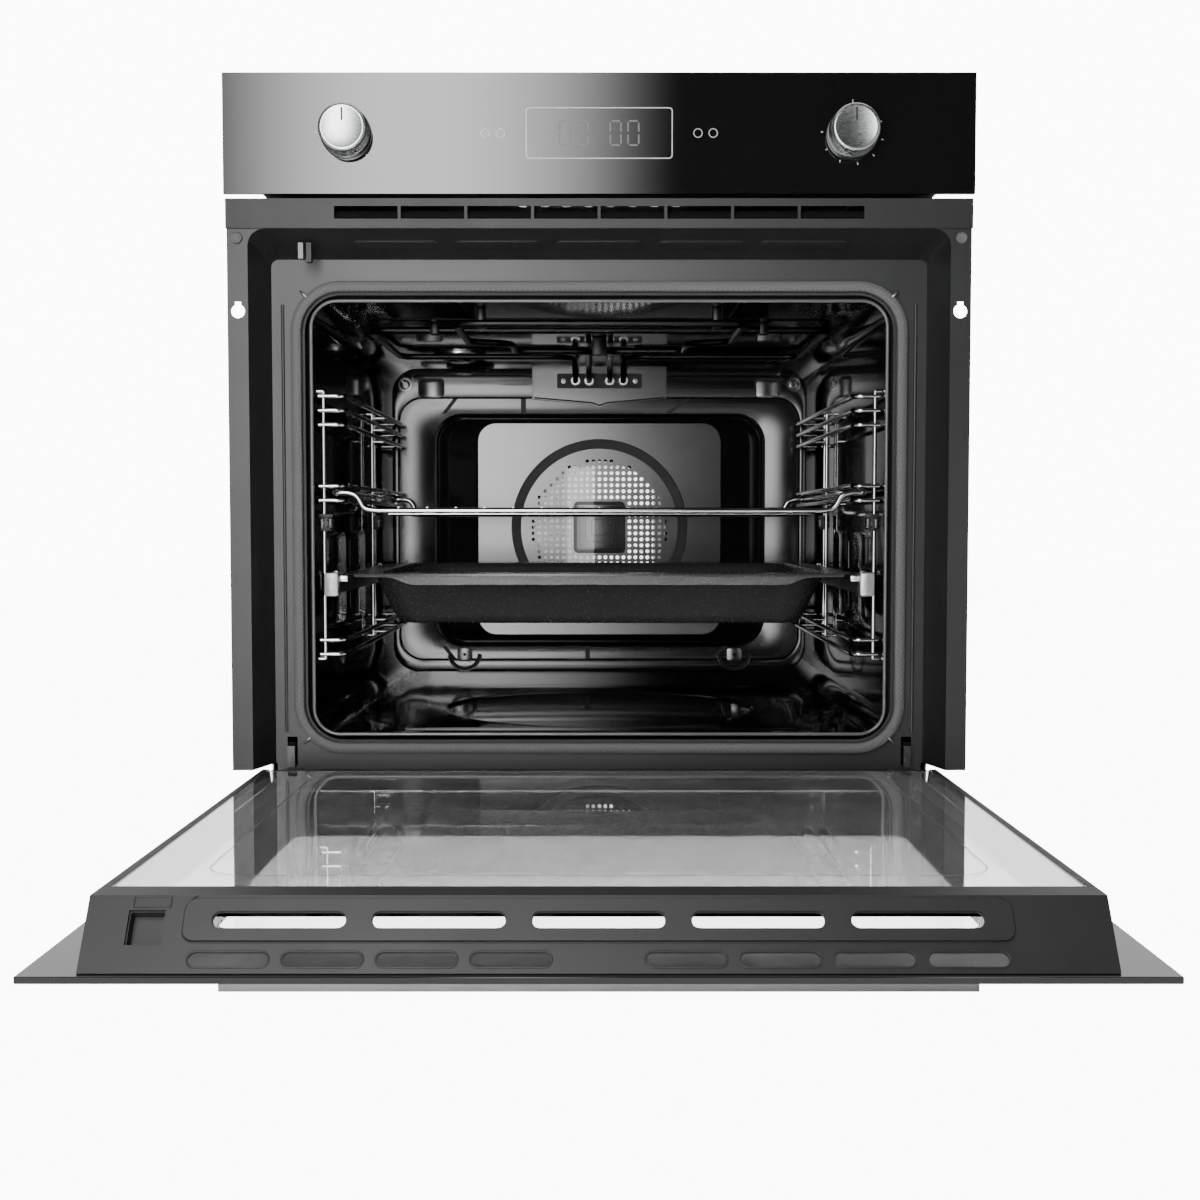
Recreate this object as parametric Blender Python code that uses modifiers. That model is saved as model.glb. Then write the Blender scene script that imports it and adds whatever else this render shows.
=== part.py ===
"""Built-in wall oven, door open, as an assembly of separate parts.

Frame: X runs across the oven, +Y runs into it from the front, +Z is up. The origin is the middle of
the base panel's underside, in the plane of the front flanges. Sizes are metres.
"""

import math

import bmesh
import bpy
from mathutils import Matrix, Vector

MM = 0.001

# Overall sizes
FRONT_WIDTH = 594 * MM  # over the side flanges
FASCIA_WIDTH = FRONT_WIDTH + 1 * MM  # control panel, vent strip and door glass
FRONT_TOP = 595 * MM
BODY_DEPTH = 541 * MM  # flange plane to the rear cover's inner face
BODY_TOP = FRONT_TOP - 7 * MM
SIDE_INSET = 23 * MM  # how far each side panel stands in from the flange's edge
SHEET = 1.2 * MM
GAP = 0.3 * MM  # left between parts that touch
EDGE_GAP = 0.5 * MM

# Front frame: flanges round a tapered recess, with the oven's mouth in its floor
FLANGE_BOTTOM = 40 * MM
FLANGE_WIDTH = 16.6 * MM
PANEL_ZONE = 120.5 * MM  # control panel and vent strip, above the recess
RECESS_TOP = FRONT_TOP - PANEL_ZONE
FLANGE_TOP = RECESS_TOP + 5.5 * MM
RECESS_RADIUS = 13 * MM
RECESS_DEPTH = 40 * MM
RECESS_TAPER = 10.4 * MM  # each side wall leans in by this much
CEILING_DROP = 17.8 * MM
FLOOR_RADIUS = 6 * MM
KEYHOLE_INSET = 8.5 * MM
KEYHOLE_Z = RECESS_TOP - 65.2 * MM
KEYHOLE_RADIUS = 5.6 * MM
KEYHOLE_NECK = 5 * MM
BUMPER_RADIUS = 4.6 * MM
BUMPER_Z = RECESS_TOP - 7.5 * MM

# Vent strip above the door
STRIP_BOTTOM = RECESS_TOP + 0.1 * MM
STRIP_HEIGHT = 23.4 * MM
STRIP_PROUD = 2 * MM
STRIP_SLOTS = 8
STRIP_SLOT_PITCH = 53 * MM
STRIP_SLOT_BRIDGE = 2.4 * MM
STRIP_SLOT_Z = (STRIP_BOTTOM + 7.4 * MM, STRIP_BOTTOM + 17.4 * MM)

# Cavity
CAVITY_SIDE_SPACE = 59.2 * MM  # cavity's inside to the flange's edge
CAVITY_WIDTH = FRONT_WIDTH - 2 * CAVITY_SIDE_SPACE
CAVITY_BOTTOM = 64.5 * MM
CAVITY_TOP = RECESS_TOP - 51.7 * MM
CAVITY_RADIUS = 20 * MM
CAVITY_FRONT = 46 * MM
REAR_SPACE = 46 * MM  # cavity's back to the rear cover
CAVITY_REAR = BODY_DEPTH - REAR_SPACE
LIP_WIDTH = 2.8 * MM
LIP_DEPTH = 4 * MM
MOUTH_MARGIN = 5.2 * MM  # frame's mouth beyond the cavity's inside
WELL_RADIUS = 144.5 * MM
WELL_DEPTH = 3 * MM
WELL_Y = 230 * MM
GASKET_OUTER_MARGIN = 16 * MM
GASKET_WIDTH = 9 * MM
GASKET_RADIUS = 41 * MM
GASKET_FRONT = 32.3 * MM

# Fan cover and what is behind it
FAN_SPACE = 45 * MM  # fan cover's face to the cavity's back
COVER_FRONT = CAVITY_REAR - FAN_SPACE
COVER_WIDTH = CAVITY_WIDTH - 22.6 * MM
COVER_BOTTOM = CAVITY_BOTTOM + 12.3 * MM
COVER_TOP = CAVITY_TOP - 14 * MM
COVER_RADIUS = 28 * MM
COVER_RIM = 17 * MM
COVER_CHANNEL = 12 * MM
PLATE_WIDTH = COVER_WIDTH - 185.2 * MM
PLATE_BOTTOM = COVER_BOTTOM + 39.9 * MM
PLATE_TOP = COVER_TOP - 58.5 * MM
PLATE_RADIUS = 21 * MM
FAN_Z = (PLATE_BOTTOM + PLATE_TOP) / 2 + 2.1 * MM
GRILLE_PITCH = 19.7 * MM
GRILLE_HOLE = 12 * MM
GRILLE_RADIUS = 78 * MM
FAN_RADIUS = 74 * MM
FAN_BLADES = 10
FAN_BLADE_DEPTH = 16 * MM
SHAFT_RADIUS = 4 * MM
RING_RADIUS = 96 * MM
ELEMENT_RADIUS = 3.25 * MM
LEAD_SPREAD = 16 * MM
OUTER_LEAD_X = 25.9 * MM
INNER_LEAD_X = 11.2 * MM
LEAD_DROP = 14 * MM

# Heating elements under the ceiling and the floor
GRILL_Z = CAVITY_TOP - 14.3 * MM
UPPER_Z = CAVITY_TOP - 6.8 * MM
UPPER_HALF = CAVITY_WIDTH / 2 - 27.8 * MM
UPPER_FRONT = 177 * MM
UPPER_REAR = COVER_FRONT - 50 * MM
BRACKET_HALF = 73 * MM
BRACKET_HEIGHT = 44 * MM
BRACKET_Y = COVER_FRONT - 6 * MM
BOTTOM_HALF = CAVITY_WIDTH / 2 - 87.8 * MM
BOTTOM_FRONT = 120 * MM
BOTTOM_REAR = CAVITY_REAR - 115 * MM
LEAD_RUN = 12 * MM  # how far each lead goes through the cavity's back
ELEMENT_TURN = 14 * MM
# The grill element's bends, front to back, on the right-hand side
GRILL_BENDS = (
    (11.2 * MM, 296 * MM), (23.2 * MM, 280 * MM), (72 * MM, 280 * MM), (82 * MM, 270 * MM),
    (82 * MM, 225 * MM), (92 * MM, 214 * MM), (112 * MM, 206 * MM), (122 * MM, 192 * MM),
    (122 * MM, 84 * MM), (108 * MM, 70 * MM),
)
LAMP_X = 87.8 * MM - CAVITY_WIDTH / 2
LAMP_Y = COVER_FRONT - 20 * MM
LAMP_RADIUS = 25 * MM
PROBE_X = CAVITY_WIDTH / 2 - 37.8 * MM
PROBE_RADIUS = 2 * MM

# Racks, shelf, rails and tray
RACK_WIRE = 2.2 * MM
RACK_ROD = 1.8 * MM
RACK_REACH = 24 * MM  # wires stand this far in from the cavity wall
RACK_FRONT = 58 * MM
RACK_REAR = COVER_FRONT - 20 * MM
RACK_UPRIGHTS = (0, RACK_REAR - RACK_FRONT - 97 * MM, RACK_REAR - RACK_FRONT - 82 * MM)  # from its front
ROD_OFFSET = 17.5 * MM  # uprights stand this far outside the wires
RACK_LEVELS = (CAVITY_BOTTOM + 77.1 * MM, CAVITY_TOP - 151.5 * MM, CAVITY_TOP - 76.2 * MM)
LEVEL_DROP = 12 * MM
LEVELS_TOP_EXTRA = 2
SHELF_LEVEL = 1
SHELF_ROD = 2.5 * MM
SHELF_WIRE = 1.5 * MM
SHELF_CLEARANCE = 13.5 * MM  # shelf's side rods to the cavity wall
SHELF_DROP = 15 * MM
SHELF_FRONT = 50 * MM
SHELF_REAR = RACK_REAR - 10 * MM
SHELF_WIRES = 15
SHELF_WIRE_PITCH = (CAVITY_WIDTH / 2 - 69.8 * MM) / (SHELF_WIRES // 2)
RAIL_TOP = CAVITY_BOTTOM + 131.5 * MM
RAIL_HEIGHT = 16 * MM
RAIL_REAR = RACK_REAR - 8 * MM
RAIL_FRONT = 52 * MM
RAIL_SHEET = 1.4 * MM
RAIL_FIXED_WIDTH = 5 * MM
RAIL_CAP_WIDTH = 12 * MM
RAIL_CAP_HEIGHT = 20 * MM
TRAY_RAIL_GAP = 6.7 * MM  # tray's rim to the outer rail
TRAY_FRONT = 50 * MM
TRAY_REAR = RACK_REAR - 12 * MM
TRAY_RIM_Z = RAIL_TOP + 2.2 * MM
TRAY_DEPTH = 45 * MM
TRAY_RIM = 21 * MM
TRAY_SLOPE = 20 * MM
TRAY_SHEET = 1.2 * MM
TRAY_LIP = 9.6 * MM

# Door, given as it stands when closed
HINGE_Y = -5.25 * MM
HINGE_Z = 8.25 * MM
DOOR_OUTER_FACE = -7.3 * MM
DOOR_INNER_FACE = 31.8 * MM
GLASS = 4 * MM
DOOR_BOTTOM = 14.5 * MM
DOOR_TOP_GAP = 3.1 * MM  # door's top edge to the vent strip
DOOR_BODY_INSET = 13.4 * MM  # recess wall to the door's inner body at the recess's floor
INNER_GLASS_BOTTOM = 36 * MM
TRIM_TOP_FLAT = 19.5 * MM
TRIM_OUTER_Z = STRIP_BOTTOM - DOOR_TOP_GAP - 4.5 * MM
TRIM_INNER_Z = TRIM_OUTER_Z - 23.5 * MM
TRIM_WALL = 2.2 * MM
STILE_STRIP = 4.5 * MM
INSERT_SLOT = 9.2 * MM
INSERT_SLOTS = 5
LOWER_SLOTS = 4  # in each half of the trim
LOWER_SLOT_START = 24.3 * MM
LOWER_SLOT = 8 * MM
PULL_LENGTH = FRONT_WIDTH - 194 * MM
PULL_HEIGHT = 34 * MM
PULL_DEPTH = 11.5 * MM
PULL_BELOW_TOP = 26 * MM
PULL_WALL = 2 * MM

# Hinges
HINGE_FROM_SIDE = 10.7 * MM  # middle of each hinge to the door body's side
CLAW_WIDTH = 6 * MM
CLAW_SIDE_GAP = 0.6 * MM
EAR = 1.6 * MM
EAR_RADIUS = 4.8 * MM
PIN_RADIUS = 2 * MM
PIN_CLEARANCE = 0.3 * MM
CHANNEL_TOP = 190 * MM
SLOT_Z = (38 * MM, 62 * MM)

# Catch and light switch in the recess's ceiling
CATCH_Y = 15 * MM
CATCH_PIVOT_Z = RECESS_TOP - 8.5 * MM
CATCH_BOTTOM_Z = RECESS_TOP - 24 * MM
CATCH_WIDTH = 4 * MM
CATCH_DEPTH = 5 * MM

# Controls
PANEL_GLASS = 4 * MM
KNOB_X = FRONT_WIDTH / 2 - 97 * MM
KNOB_RADIUS = 20 * MM
KNOB_LENGTH = 20 * MM
SPINDLE_RADIUS = 3 * MM
DISPLAY_HALF = 55 * MM

# Cooling blower, insulation and rear
DUCT_HEIGHT = 16 * MM
BLOWER_Y = CAVITY_REAR - 65 * MM
BLOWER_Z = STRIP_BOTTOM + STRIP_HEIGHT + 32 * MM
BLOWER_RADIUS = 26 * MM
BLOWER_HALF = 95 * MM
BLOWER_BLADES = 12
WOOL = 10 * MM
BOTTOM_SPACE = 12 * MM
MOTOR_GAP = 4 * MM
MOTOR_HALF = 32 * MM
GLAND_X = FRONT_WIDTH / 2 - SIDE_INSET - 74 * MM
GLAND_Z = BODY_TOP - 43 * MM
GLAND_RADIUS = 11 * MM

# Values that follow from the ones above
FASCIA_HALF = FASCIA_WIDTH / 2
RECESS_HALF = FRONT_WIDTH / 2 - FLANGE_WIDTH
FLOOR_HALF = RECESS_HALF - RECESS_TAPER
SIDE_X = FRONT_WIDTH / 2 - SIDE_INSET
CAVITY_HALF = CAVITY_WIDTH / 2
COVER_HALF = COVER_WIDTH / 2
PLATE_HALF = PLATE_WIDTH / 2
DOOR_TOP = STRIP_BOTTOM - DOOR_TOP_GAP
DOOR_HALF = RECESS_HALF - DOOR_BODY_INSET
DOOR_GLASS_BACK = DOOR_OUTER_FACE + GLASS
HINGE_X = DOOR_HALF - HINGE_FROM_SIDE
POCKET_X = (22 * MM - DOOR_HALF, 41 * MM - DOOR_HALF)
HOOK_X = POCKET_X[0] + 4.5 * MM
LEVER_X = HOOK_X + 6.5 * MM
INSERT_WIDTH = 2 * (DOOR_HALF - 51.8 * MM)
INSERT_SLOT_PITCH = (INSERT_WIDTH - 15.4 * MM) / INSERT_SLOTS
INSERT_SLOT_LENGTH = INSERT_SLOT_PITCH - 13 * MM
LOWER_SLOT_PITCH = (DOOR_HALF - 73.4 * MM) / LOWER_SLOTS
LOWER_SLOT_LENGTH = LOWER_SLOT_PITCH - 6.8 * MM
STRIP_TOP = STRIP_BOTTOM + STRIP_HEIGHT
PANEL_BOTTOM = STRIP_TOP + 2.5 * MM
PANEL_MID_Z = (PANEL_BOTTOM + FRONT_TOP) / 2
RACK_X = CAVITY_HALF - RACK_REACH
RAIL_OUTER_X = RACK_X + ROD_OFFSET - RACK_ROD - GAP
RAIL_INNER_X = RAIL_OUTER_X - RAIL_FIXED_WIDTH
TRAY_HALF = RAIL_INNER_X - TRAY_RAIL_GAP
STRIP_SLOT_HALF = STRIP_SLOTS * STRIP_SLOT_PITCH / 2
DUCT_HALF = STRIP_SLOT_HALF + 14 * MM

ACROSS = (math.pi / 2, 0, 0)  # an outline in X and Z
ALONG = (math.pi / 2, 0, math.pi / 2)  # an outline in Y and Z
FLAT = (0, 0, 0)  # an outline in X and Y

for old in list(bpy.data.objects):
    bpy.data.objects.remove(old)

oven = bpy.data.collections.new("wall_oven")
cutters = bpy.data.collections.new("cutters")
bpy.context.scene.collection.children.link(oven)
bpy.context.scene.collection.children.link(cutters)


def material(name, colour, roughness, metallic=0.0):
    """A Principled BSDF material."""
    mat = bpy.data.materials.new(name)
    mat.use_nodes = True
    shader = mat.node_tree.nodes["Principled BSDF"]
    shader.inputs["Base Color"].default_value = (*colour, 1)
    shader.inputs["Roughness"].default_value = roughness
    shader.inputs["Metallic"].default_value = metallic
    return mat


ENAMEL = ((0.02, 0.02, 0.021), 0.15, 0.0)
FRAME_ENAMEL = ((0.09, 0.09, 0.092), 0.35, 0.0)
GALVANISED = ((0.45, 0.46, 0.47), 0.45, 1.0)
CHROME = ((0.75, 0.75, 0.76), 0.1, 1.0)
BLACK_PLASTIC = ((0.045, 0.045, 0.047), 0.5, 0.0)
DARK_GLASS = ((0.03, 0.03, 0.032), 0.05, 0.0)
CLEAR_GLASS = ((0.55, 0.58, 0.57), 0.03, 0.0)
SEAL = ((0.3, 0.3, 0.3), 0.9, 0.0)
ELEMENT = ((0.08, 0.08, 0.08), 0.4, 1.0)
WOOL_LOOK = ((0.6, 0.56, 0.42), 1.0, 0.0)
BOARD = ((0.03, 0.16, 0.07), 0.5, 0.0)
CERAMIC = ((0.8, 0.78, 0.72), 0.6, 0.0)
PALE_METAL = ((0.8, 0.8, 0.8), 0.25, 1.0)


def add(obj, name, look):
    """Put a finished object in the oven's collection with its own material."""
    obj.name = name
    obj.data.name = name
    for group in list(obj.users_collection):
        group.objects.unlink(obj)
    oven.objects.link(obj)
    obj.data.materials.clear()
    obj.data.materials.append(material(name, *look))
    return obj


def hide(obj, name="cutter"):
    """Make an object a cutter or a joined piece."""
    obj.name = name
    for group in list(obj.users_collection):
        group.objects.unlink(obj)
    cutters.objects.link(obj)
    obj.hide_render = True
    obj.display_type = "WIRE"
    return obj


def mesh_object(bm, name="piece"):
    """An object from a bmesh, with its faces turned out."""
    bmesh.ops.recalc_face_normals(bm, faces=bm.faces)
    mesh = bpy.data.meshes.new(name)
    bm.to_mesh(mesh)
    bm.free()
    obj = bpy.data.objects.new(name, mesh)
    bpy.context.scene.collection.objects.link(obj)
    return obj


def block(low, high):
    """A box between two corners, with its origin at its centre."""
    low, high = Vector(low), Vector(high)
    bm = bmesh.new()
    bmesh.ops.create_cube(bm, size=1)
    bmesh.ops.scale(bm, vec=high - low, verts=bm.verts)
    obj = mesh_object(bm)
    obj.location = (low + high) / 2
    return obj


def rod(start, end, radius, sides=12):
    """A cylinder between two points."""
    start, end = Vector(start), Vector(end)
    bm = bmesh.new()
    bmesh.ops.create_cone(bm, cap_ends=True, segments=sides, radius1=radius, radius2=radius,
                          depth=(end - start).length)
    obj = mesh_object(bm)
    obj.location = (start + end) / 2
    obj.rotation_euler = (end - start).to_track_quat("Z", "Y").to_euler()
    return obj


def arc(centre, radius, start, end, steps):
    """Points on an arc, from one angle in degrees to another."""
    angles = (math.radians(start + (end - start) * i / steps) for i in range(steps + 1))
    return [(centre[0] + radius * math.cos(a), centre[1] + radius * math.sin(a)) for a in angles]


def rounded(left, right, bottom, top, radius, steps=4):
    """The outline of a rectangle with round corners."""
    l, r, b, t = left + radius, right - radius, bottom + radius, top - radius
    return (arc((r, b), radius, -90, 0, steps) + arc((r, t), radius, 0, 90, steps)
            + arc((l, t), radius, 90, 180, steps) + arc((l, b), radius, 180, 270, steps))


def arched(half, bottom, top, radius, steps=4):
    """A rectangle about the middle plane whose upper corners are round."""
    h, t = half - radius, top - radius
    return ([(-half, bottom), (half, bottom)] + arc((h, t), radius, 0, 90, steps)
            + arc((-h, t), radius, 90, 180, steps))


def rectangle(left, right, bottom, top):
    """The outline of a rectangle with square corners."""
    return [(left, bottom), (right, bottom), (right, top), (left, top)]


def meshed(obj):
    """A curve object turned into a closed mesh object in the same place."""
    bpy.context.view_layer.update()
    graph = bpy.context.evaluated_depsgraph_get()
    mesh = bpy.data.meshes.new_from_object(obj.evaluated_get(graph))
    bm = bmesh.new()
    bm.from_mesh(mesh)
    bmesh.ops.remove_doubles(bm, verts=bm.verts, dist=0.00001)
    bm.to_mesh(mesh)
    bm.free()
    new = bpy.data.objects.new("meshed", mesh)
    bpy.context.scene.collection.objects.link(new)
    new.matrix_world = obj.matrix_world.copy()
    bpy.data.objects.remove(obj)
    return new


def plate(outlines, low, high, facing=ACROSS):
    """A flat outline with any holes, extruded from low to high along the third axis."""
    curve = bpy.data.curves.new("plate", "CURVE")
    curve.dimensions = "2D"
    curve.fill_mode = "BOTH"
    curve.extrude = (high - low) / 2
    for outline in outlines:
        spline = curve.splines.new("POLY")
        spline.points.add(len(outline) - 1)
        for point, (u, v) in zip(spline.points, outline):
            point.co = (u, v, 0, 1)
        spline.use_cyclic_u = True
    obj = bpy.data.objects.new("plate", curve)
    bpy.context.scene.collection.objects.link(obj)
    middle = (low + high) / 2
    obj.rotation_euler = facing
    obj.location = {ACROSS: (0, middle, 0), ALONG: (middle, 0, 0), FLAT: (0, 0, middle)}[facing]
    return meshed(obj)


def wire(points, radius, resolution=1, closed=False):
    """A round wire along straight runs between points."""
    curve = bpy.data.curves.new("wire", "CURVE")
    curve.dimensions = "3D"
    curve.bevel_depth = radius
    curve.bevel_resolution = resolution
    curve.use_fill_caps = True
    spline = curve.splines.new("POLY")
    spline.points.add(len(points) - 1)
    for point, place in zip(spline.points, points):
        point.co = (*place, 1)
    spline.use_cyclic_u = closed
    obj = bpy.data.objects.new("wire", curve)
    bpy.context.scene.collection.objects.link(obj)
    return meshed(obj)


def turned(profile, centre, axis, sides=24):
    """A closed profile of (radius, height) points turned about an axis through centre."""
    bm = bmesh.new()
    for radius, height in profile:
        bm.verts.new((radius, 0, height))
    bm.verts.ensure_lookup_table()
    for i in range(len(profile) - 1):
        bm.edges.new((bm.verts[i], bm.verts[i + 1]))
    mesh = bpy.data.meshes.new("turned")
    bm.to_mesh(mesh)
    bm.free()
    obj = bpy.data.objects.new("turned", mesh)
    bpy.context.scene.collection.objects.link(obj)
    screw = obj.modifiers.new("Screw", "SCREW")
    screw.axis = "Z"
    screw.steps = sides
    screw.render_steps = sides
    screw.use_merge_vertices = True
    screw.merge_threshold = 0.00001
    obj.location = centre
    obj.rotation_euler = Vector(axis).to_track_quat("Z", "Y").to_euler()
    return obj


def loft(sections, looped=False):
    """A closed solid through outlines with as many points each, capped or joined end to start."""
    bm = bmesh.new()
    rings = [[bm.verts.new(p) for p in section] for section in sections]
    following = rings[1:] + (rings[:1] if looped else [])
    for ring, above in zip(rings, following):
        for i, vert in enumerate(ring):
            j = (i + 1) % len(ring)
            bm.faces.new((vert, ring[j], above[j], above[i]))
    if not looped:
        bm.faces.new(rings[0])
        bm.faces.new(rings[-1])
    bmesh.ops.triangulate(bm, faces=bm.faces)
    return mesh_object(bm)


def boolean(obj, other, operation):
    """Give an object a Boolean step with another, which becomes a hidden cutter or joined piece."""
    hide(other)
    step = obj.modifiers.new(operation.title(), "BOOLEAN")
    step.operation = operation
    step.object = other
    return obj


def cut(obj, *others):
    """Cut each of the others from an object."""
    for other in others:
        boolean(obj, other, "DIFFERENCE")
    return obj


def fuse(obj, *others):
    """Join each of the others to an object."""
    for other in others:
        boolean(obj, other, "UNION")
    return obj


def fuse_all(pieces):
    """Join many pieces in one step; the first carries the result."""
    first, rest = pieces[0], pieces[1:]
    group = bpy.data.collections.new("joined")
    cutters.children.link(group)
    for piece in rest:
        hide(piece)
        cutters.objects.unlink(piece)
        group.objects.link(piece)
    step = first.modifiers.new("Union", "BOOLEAN")
    step.operation = "UNION"
    step.operand_type = "COLLECTION"
    step.collection = group
    return first


def at_y(outline, y):
    """An outline in X and Z, as points at one Y."""
    return [(x, y, z) for x, z in outline]


def at_z(outline, z):
    """An outline in X and Y, as points at one Z."""
    return [(x, y, z) for x, y in outline]


def mirrored(points, side):
    """Points given for the right-hand side, moved to a side."""
    return [(side * x, y, z) for x, y, z in points]


SIDES = (("left", -1), ("right", 1))


def across(side, near, far):
    """The low and high X of a piece that spans near to far on one side of the middle."""
    return min(side * near, side * far), max(side * near, side * far)


def build_front_frame():
    """Flanges, tapered recess and its floor, pressed from one sheet."""
    half = FRONT_WIDTH / 2
    shift = 5 * MM
    slope, drop = RECESS_TAPER / RECESS_DEPTH, CEILING_DROP / RECESS_DEPTH

    def inside(y, bottom, wall=0.0):
        """The tapered recess's section at a depth, or that of its outside."""
        radius = RECESS_RADIUS + (FLOOR_RADIUS - RECESS_RADIUS) * y / RECESS_DEPTH
        return at_y(arched(RECESS_HALF - slope * y + wall, bottom, RECESS_TOP - drop * y + wall,
                           radius + wall), y)

    back = RECESS_DEPTH + SHEET
    frame = loft([inside(0.5 * MM, FLANGE_BOTTOM, SHEET), inside(back, FLANGE_BOTTOM, SHEET)])
    fuse(frame, plate([rectangle(-half, half, FLANGE_BOTTOM, FLANGE_TOP)], 0, SHEET))
    lower = block((-FLOOR_HALF + SHEET, RECESS_DEPTH, 2 * MM),
                  (FLOOR_HALF - SHEET, back, FLANGE_BOTTOM + 15 * MM))
    cut(frame, loft([inside(-shift, 20 * MM), inside(RECESS_DEPTH, 20 * MM)]))
    fuse(frame, lower)
    edge = CAVITY_HALF + MOUTH_MARGIN
    mouth = rounded(-edge, edge, CAVITY_BOTTOM - MOUTH_MARGIN, CAVITY_TOP + MOUTH_MARGIN,
                    CAVITY_RADIUS + MOUTH_MARGIN)
    cut(frame, plate([mouth], RECESS_DEPTH - shift, back + shift))
    for _, side in SIDES:
        slot = across(side, HINGE_X - CLAW_WIDTH / 2 - 1.2 * MM, HINGE_X + CLAW_WIDTH / 2 + 1.2 * MM)
        cut(frame, block((slot[0], RECESS_DEPTH - shift, SLOT_Z[0]),
                         (slot[1], back + shift, SLOT_Z[1])))
        x = side * (half - KEYHOLE_INSET)
        neck = math.degrees(math.asin(KEYHOLE_NECK / 2 / KEYHOLE_RADIUS))
        hole = arc((x, KEYHOLE_Z), KEYHOLE_RADIUS, 90 + neck, 450 - neck, 12)
        hole += [(x + KEYHOLE_NECK / 2, KEYHOLE_Z + KEYHOLE_RADIUS + 2 * MM),
                 (x - KEYHOLE_NECK / 2, KEYHOLE_Z + KEYHOLE_RADIUS + 2 * MM)]
        cut(frame, plate([hole], -shift, shift))
    add(frame, "front_frame", FRAME_ENAMEL)


def build_bumpers():
    """Rubber buttons that the closed door rests on."""
    for word, side in SIDES:
        x = side * (FRONT_WIDTH / 2 - KEYHOLE_INSET + 0.2 * MM)
        profile = [(0, 2.4 * MM), (BUMPER_RADIUS - 1 * MM, 2.4 * MM), (BUMPER_RADIUS, 1.4 * MM),
                   (BUMPER_RADIUS, 0), (0, 0)]
        bumper = turned(profile, (x, -GAP, BUMPER_Z), (0, -1, 0), 16)
        add(bumper, f"bumper_{word}", SEAL)


def build_vent_strip():
    """Strip above the door that the cooling air leaves through."""
    front = -STRIP_PROUD
    face = block((-FASCIA_HALF, front, STRIP_BOTTOM), (FASCIA_HALF, -GAP, STRIP_TOP))
    for i in range(STRIP_SLOTS):
        left = -STRIP_SLOT_HALF + i * STRIP_SLOT_PITCH + STRIP_SLOT_BRIDGE / 2
        right = left + STRIP_SLOT_PITCH - STRIP_SLOT_BRIDGE
        cut(face, block((left, front - 5 * MM, STRIP_SLOT_Z[0]), (right, 5 * MM, STRIP_SLOT_Z[1])))
    shelf = block((-FLOOR_HALF, front + 0.5 * MM, STRIP_TOP - SHEET),
                  (FLOOR_HALF, 12 * MM, STRIP_TOP - 0.2 * MM))
    fuse(face, shelf)
    add(face, "vent_strip", BLACK_PLASTIC)


def build_gasket():
    """Woven seal that lies on the recess's floor round the mouth."""
    outer = CAVITY_HALF + GASKET_OUTER_MARGIN
    inner = outer - GASKET_WIDTH
    bottom, top = CAVITY_BOTTOM - GASKET_OUTER_MARGIN, CAVITY_TOP + GASKET_OUTER_MARGIN
    radius = GASKET_RADIUS
    ring = plate([rounded(-outer, outer, bottom, top, radius, 6),
                  rounded(-inner, inner, bottom + GASKET_WIDTH, top - GASKET_WIDTH,
                          radius - GASKET_WIDTH, 6)], GASKET_FRONT, RECESS_DEPTH - GAP)
    bevel = ring.modifiers.new("Bevel", "BEVEL")
    bevel.width = 2 * MM
    bevel.segments = 1
    bevel.angle_limit = math.radians(60)
    add(ring, "oven_gasket", SEAL)


def build_cavity():
    """Enamelled wrap with its rolled lip and the shallow round well in its floor."""
    def around(margin):
        """The cavity's section at a margin outside it."""
        return rounded(-CAVITY_HALF - margin, CAVITY_HALF + margin, CAVITY_BOTTOM - margin,
                       CAVITY_TOP + margin, CAVITY_RADIUS + margin, 5)

    lip = CAVITY_FRONT + LIP_DEPTH
    wrap = loft([at_y(around(0), CAVITY_FRONT), at_y(around(0), CAVITY_REAR),
                 at_y(around(SHEET), CAVITY_REAR), at_y(around(SHEET), lip),
                 at_y(around(LIP_WIDTH), lip), at_y(around(LIP_WIDTH), CAVITY_FRONT)], looped=True)
    floor = CAVITY_BOTTOM
    pan = rod((0, WELL_Y, floor - WELL_DEPTH - SHEET), (0, WELL_Y, floor - 0.4 * MM),
              WELL_RADIUS + SHEET, 32)
    fuse(wrap, pan)
    cut(wrap, rod((0, WELL_Y, floor - WELL_DEPTH), (0, WELL_Y, floor + 5 * MM), WELL_RADIUS, 32))
    add(wrap, "oven_cavity", ENAMEL)

    panel = plate([around(SHEET)], CAVITY_REAR + GAP, CAVITY_REAR + GAP + SHEET)
    long = 20 * MM
    cut(panel, rod((0, CAVITY_REAR - long, FAN_Z), (0, CAVITY_REAR + long, FAN_Z), 9 * MM))
    for x, z in lead_places():
        cut(panel, rod((x, CAVITY_REAR - long, z), (x, CAVITY_REAR + long, z), 5 * MM))
    add(panel, "cavity_back", ENAMEL)


def lead_places():
    """Where the elements' leads pass through the cavity's back: ring element, then the upper two."""
    ring = [(side * LEAD_SPREAD, FAN_Z - RING_RADIUS) for side in (-1, 1)]
    upper = [(side * OUTER_LEAD_X, GRILL_Z - LEAD_DROP) for side in (-1, 1)]
    inner = [(side * INNER_LEAD_X, GRILL_Z - LEAD_DROP) for side in (-1, 1)]
    return ring + upper + inner


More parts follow.
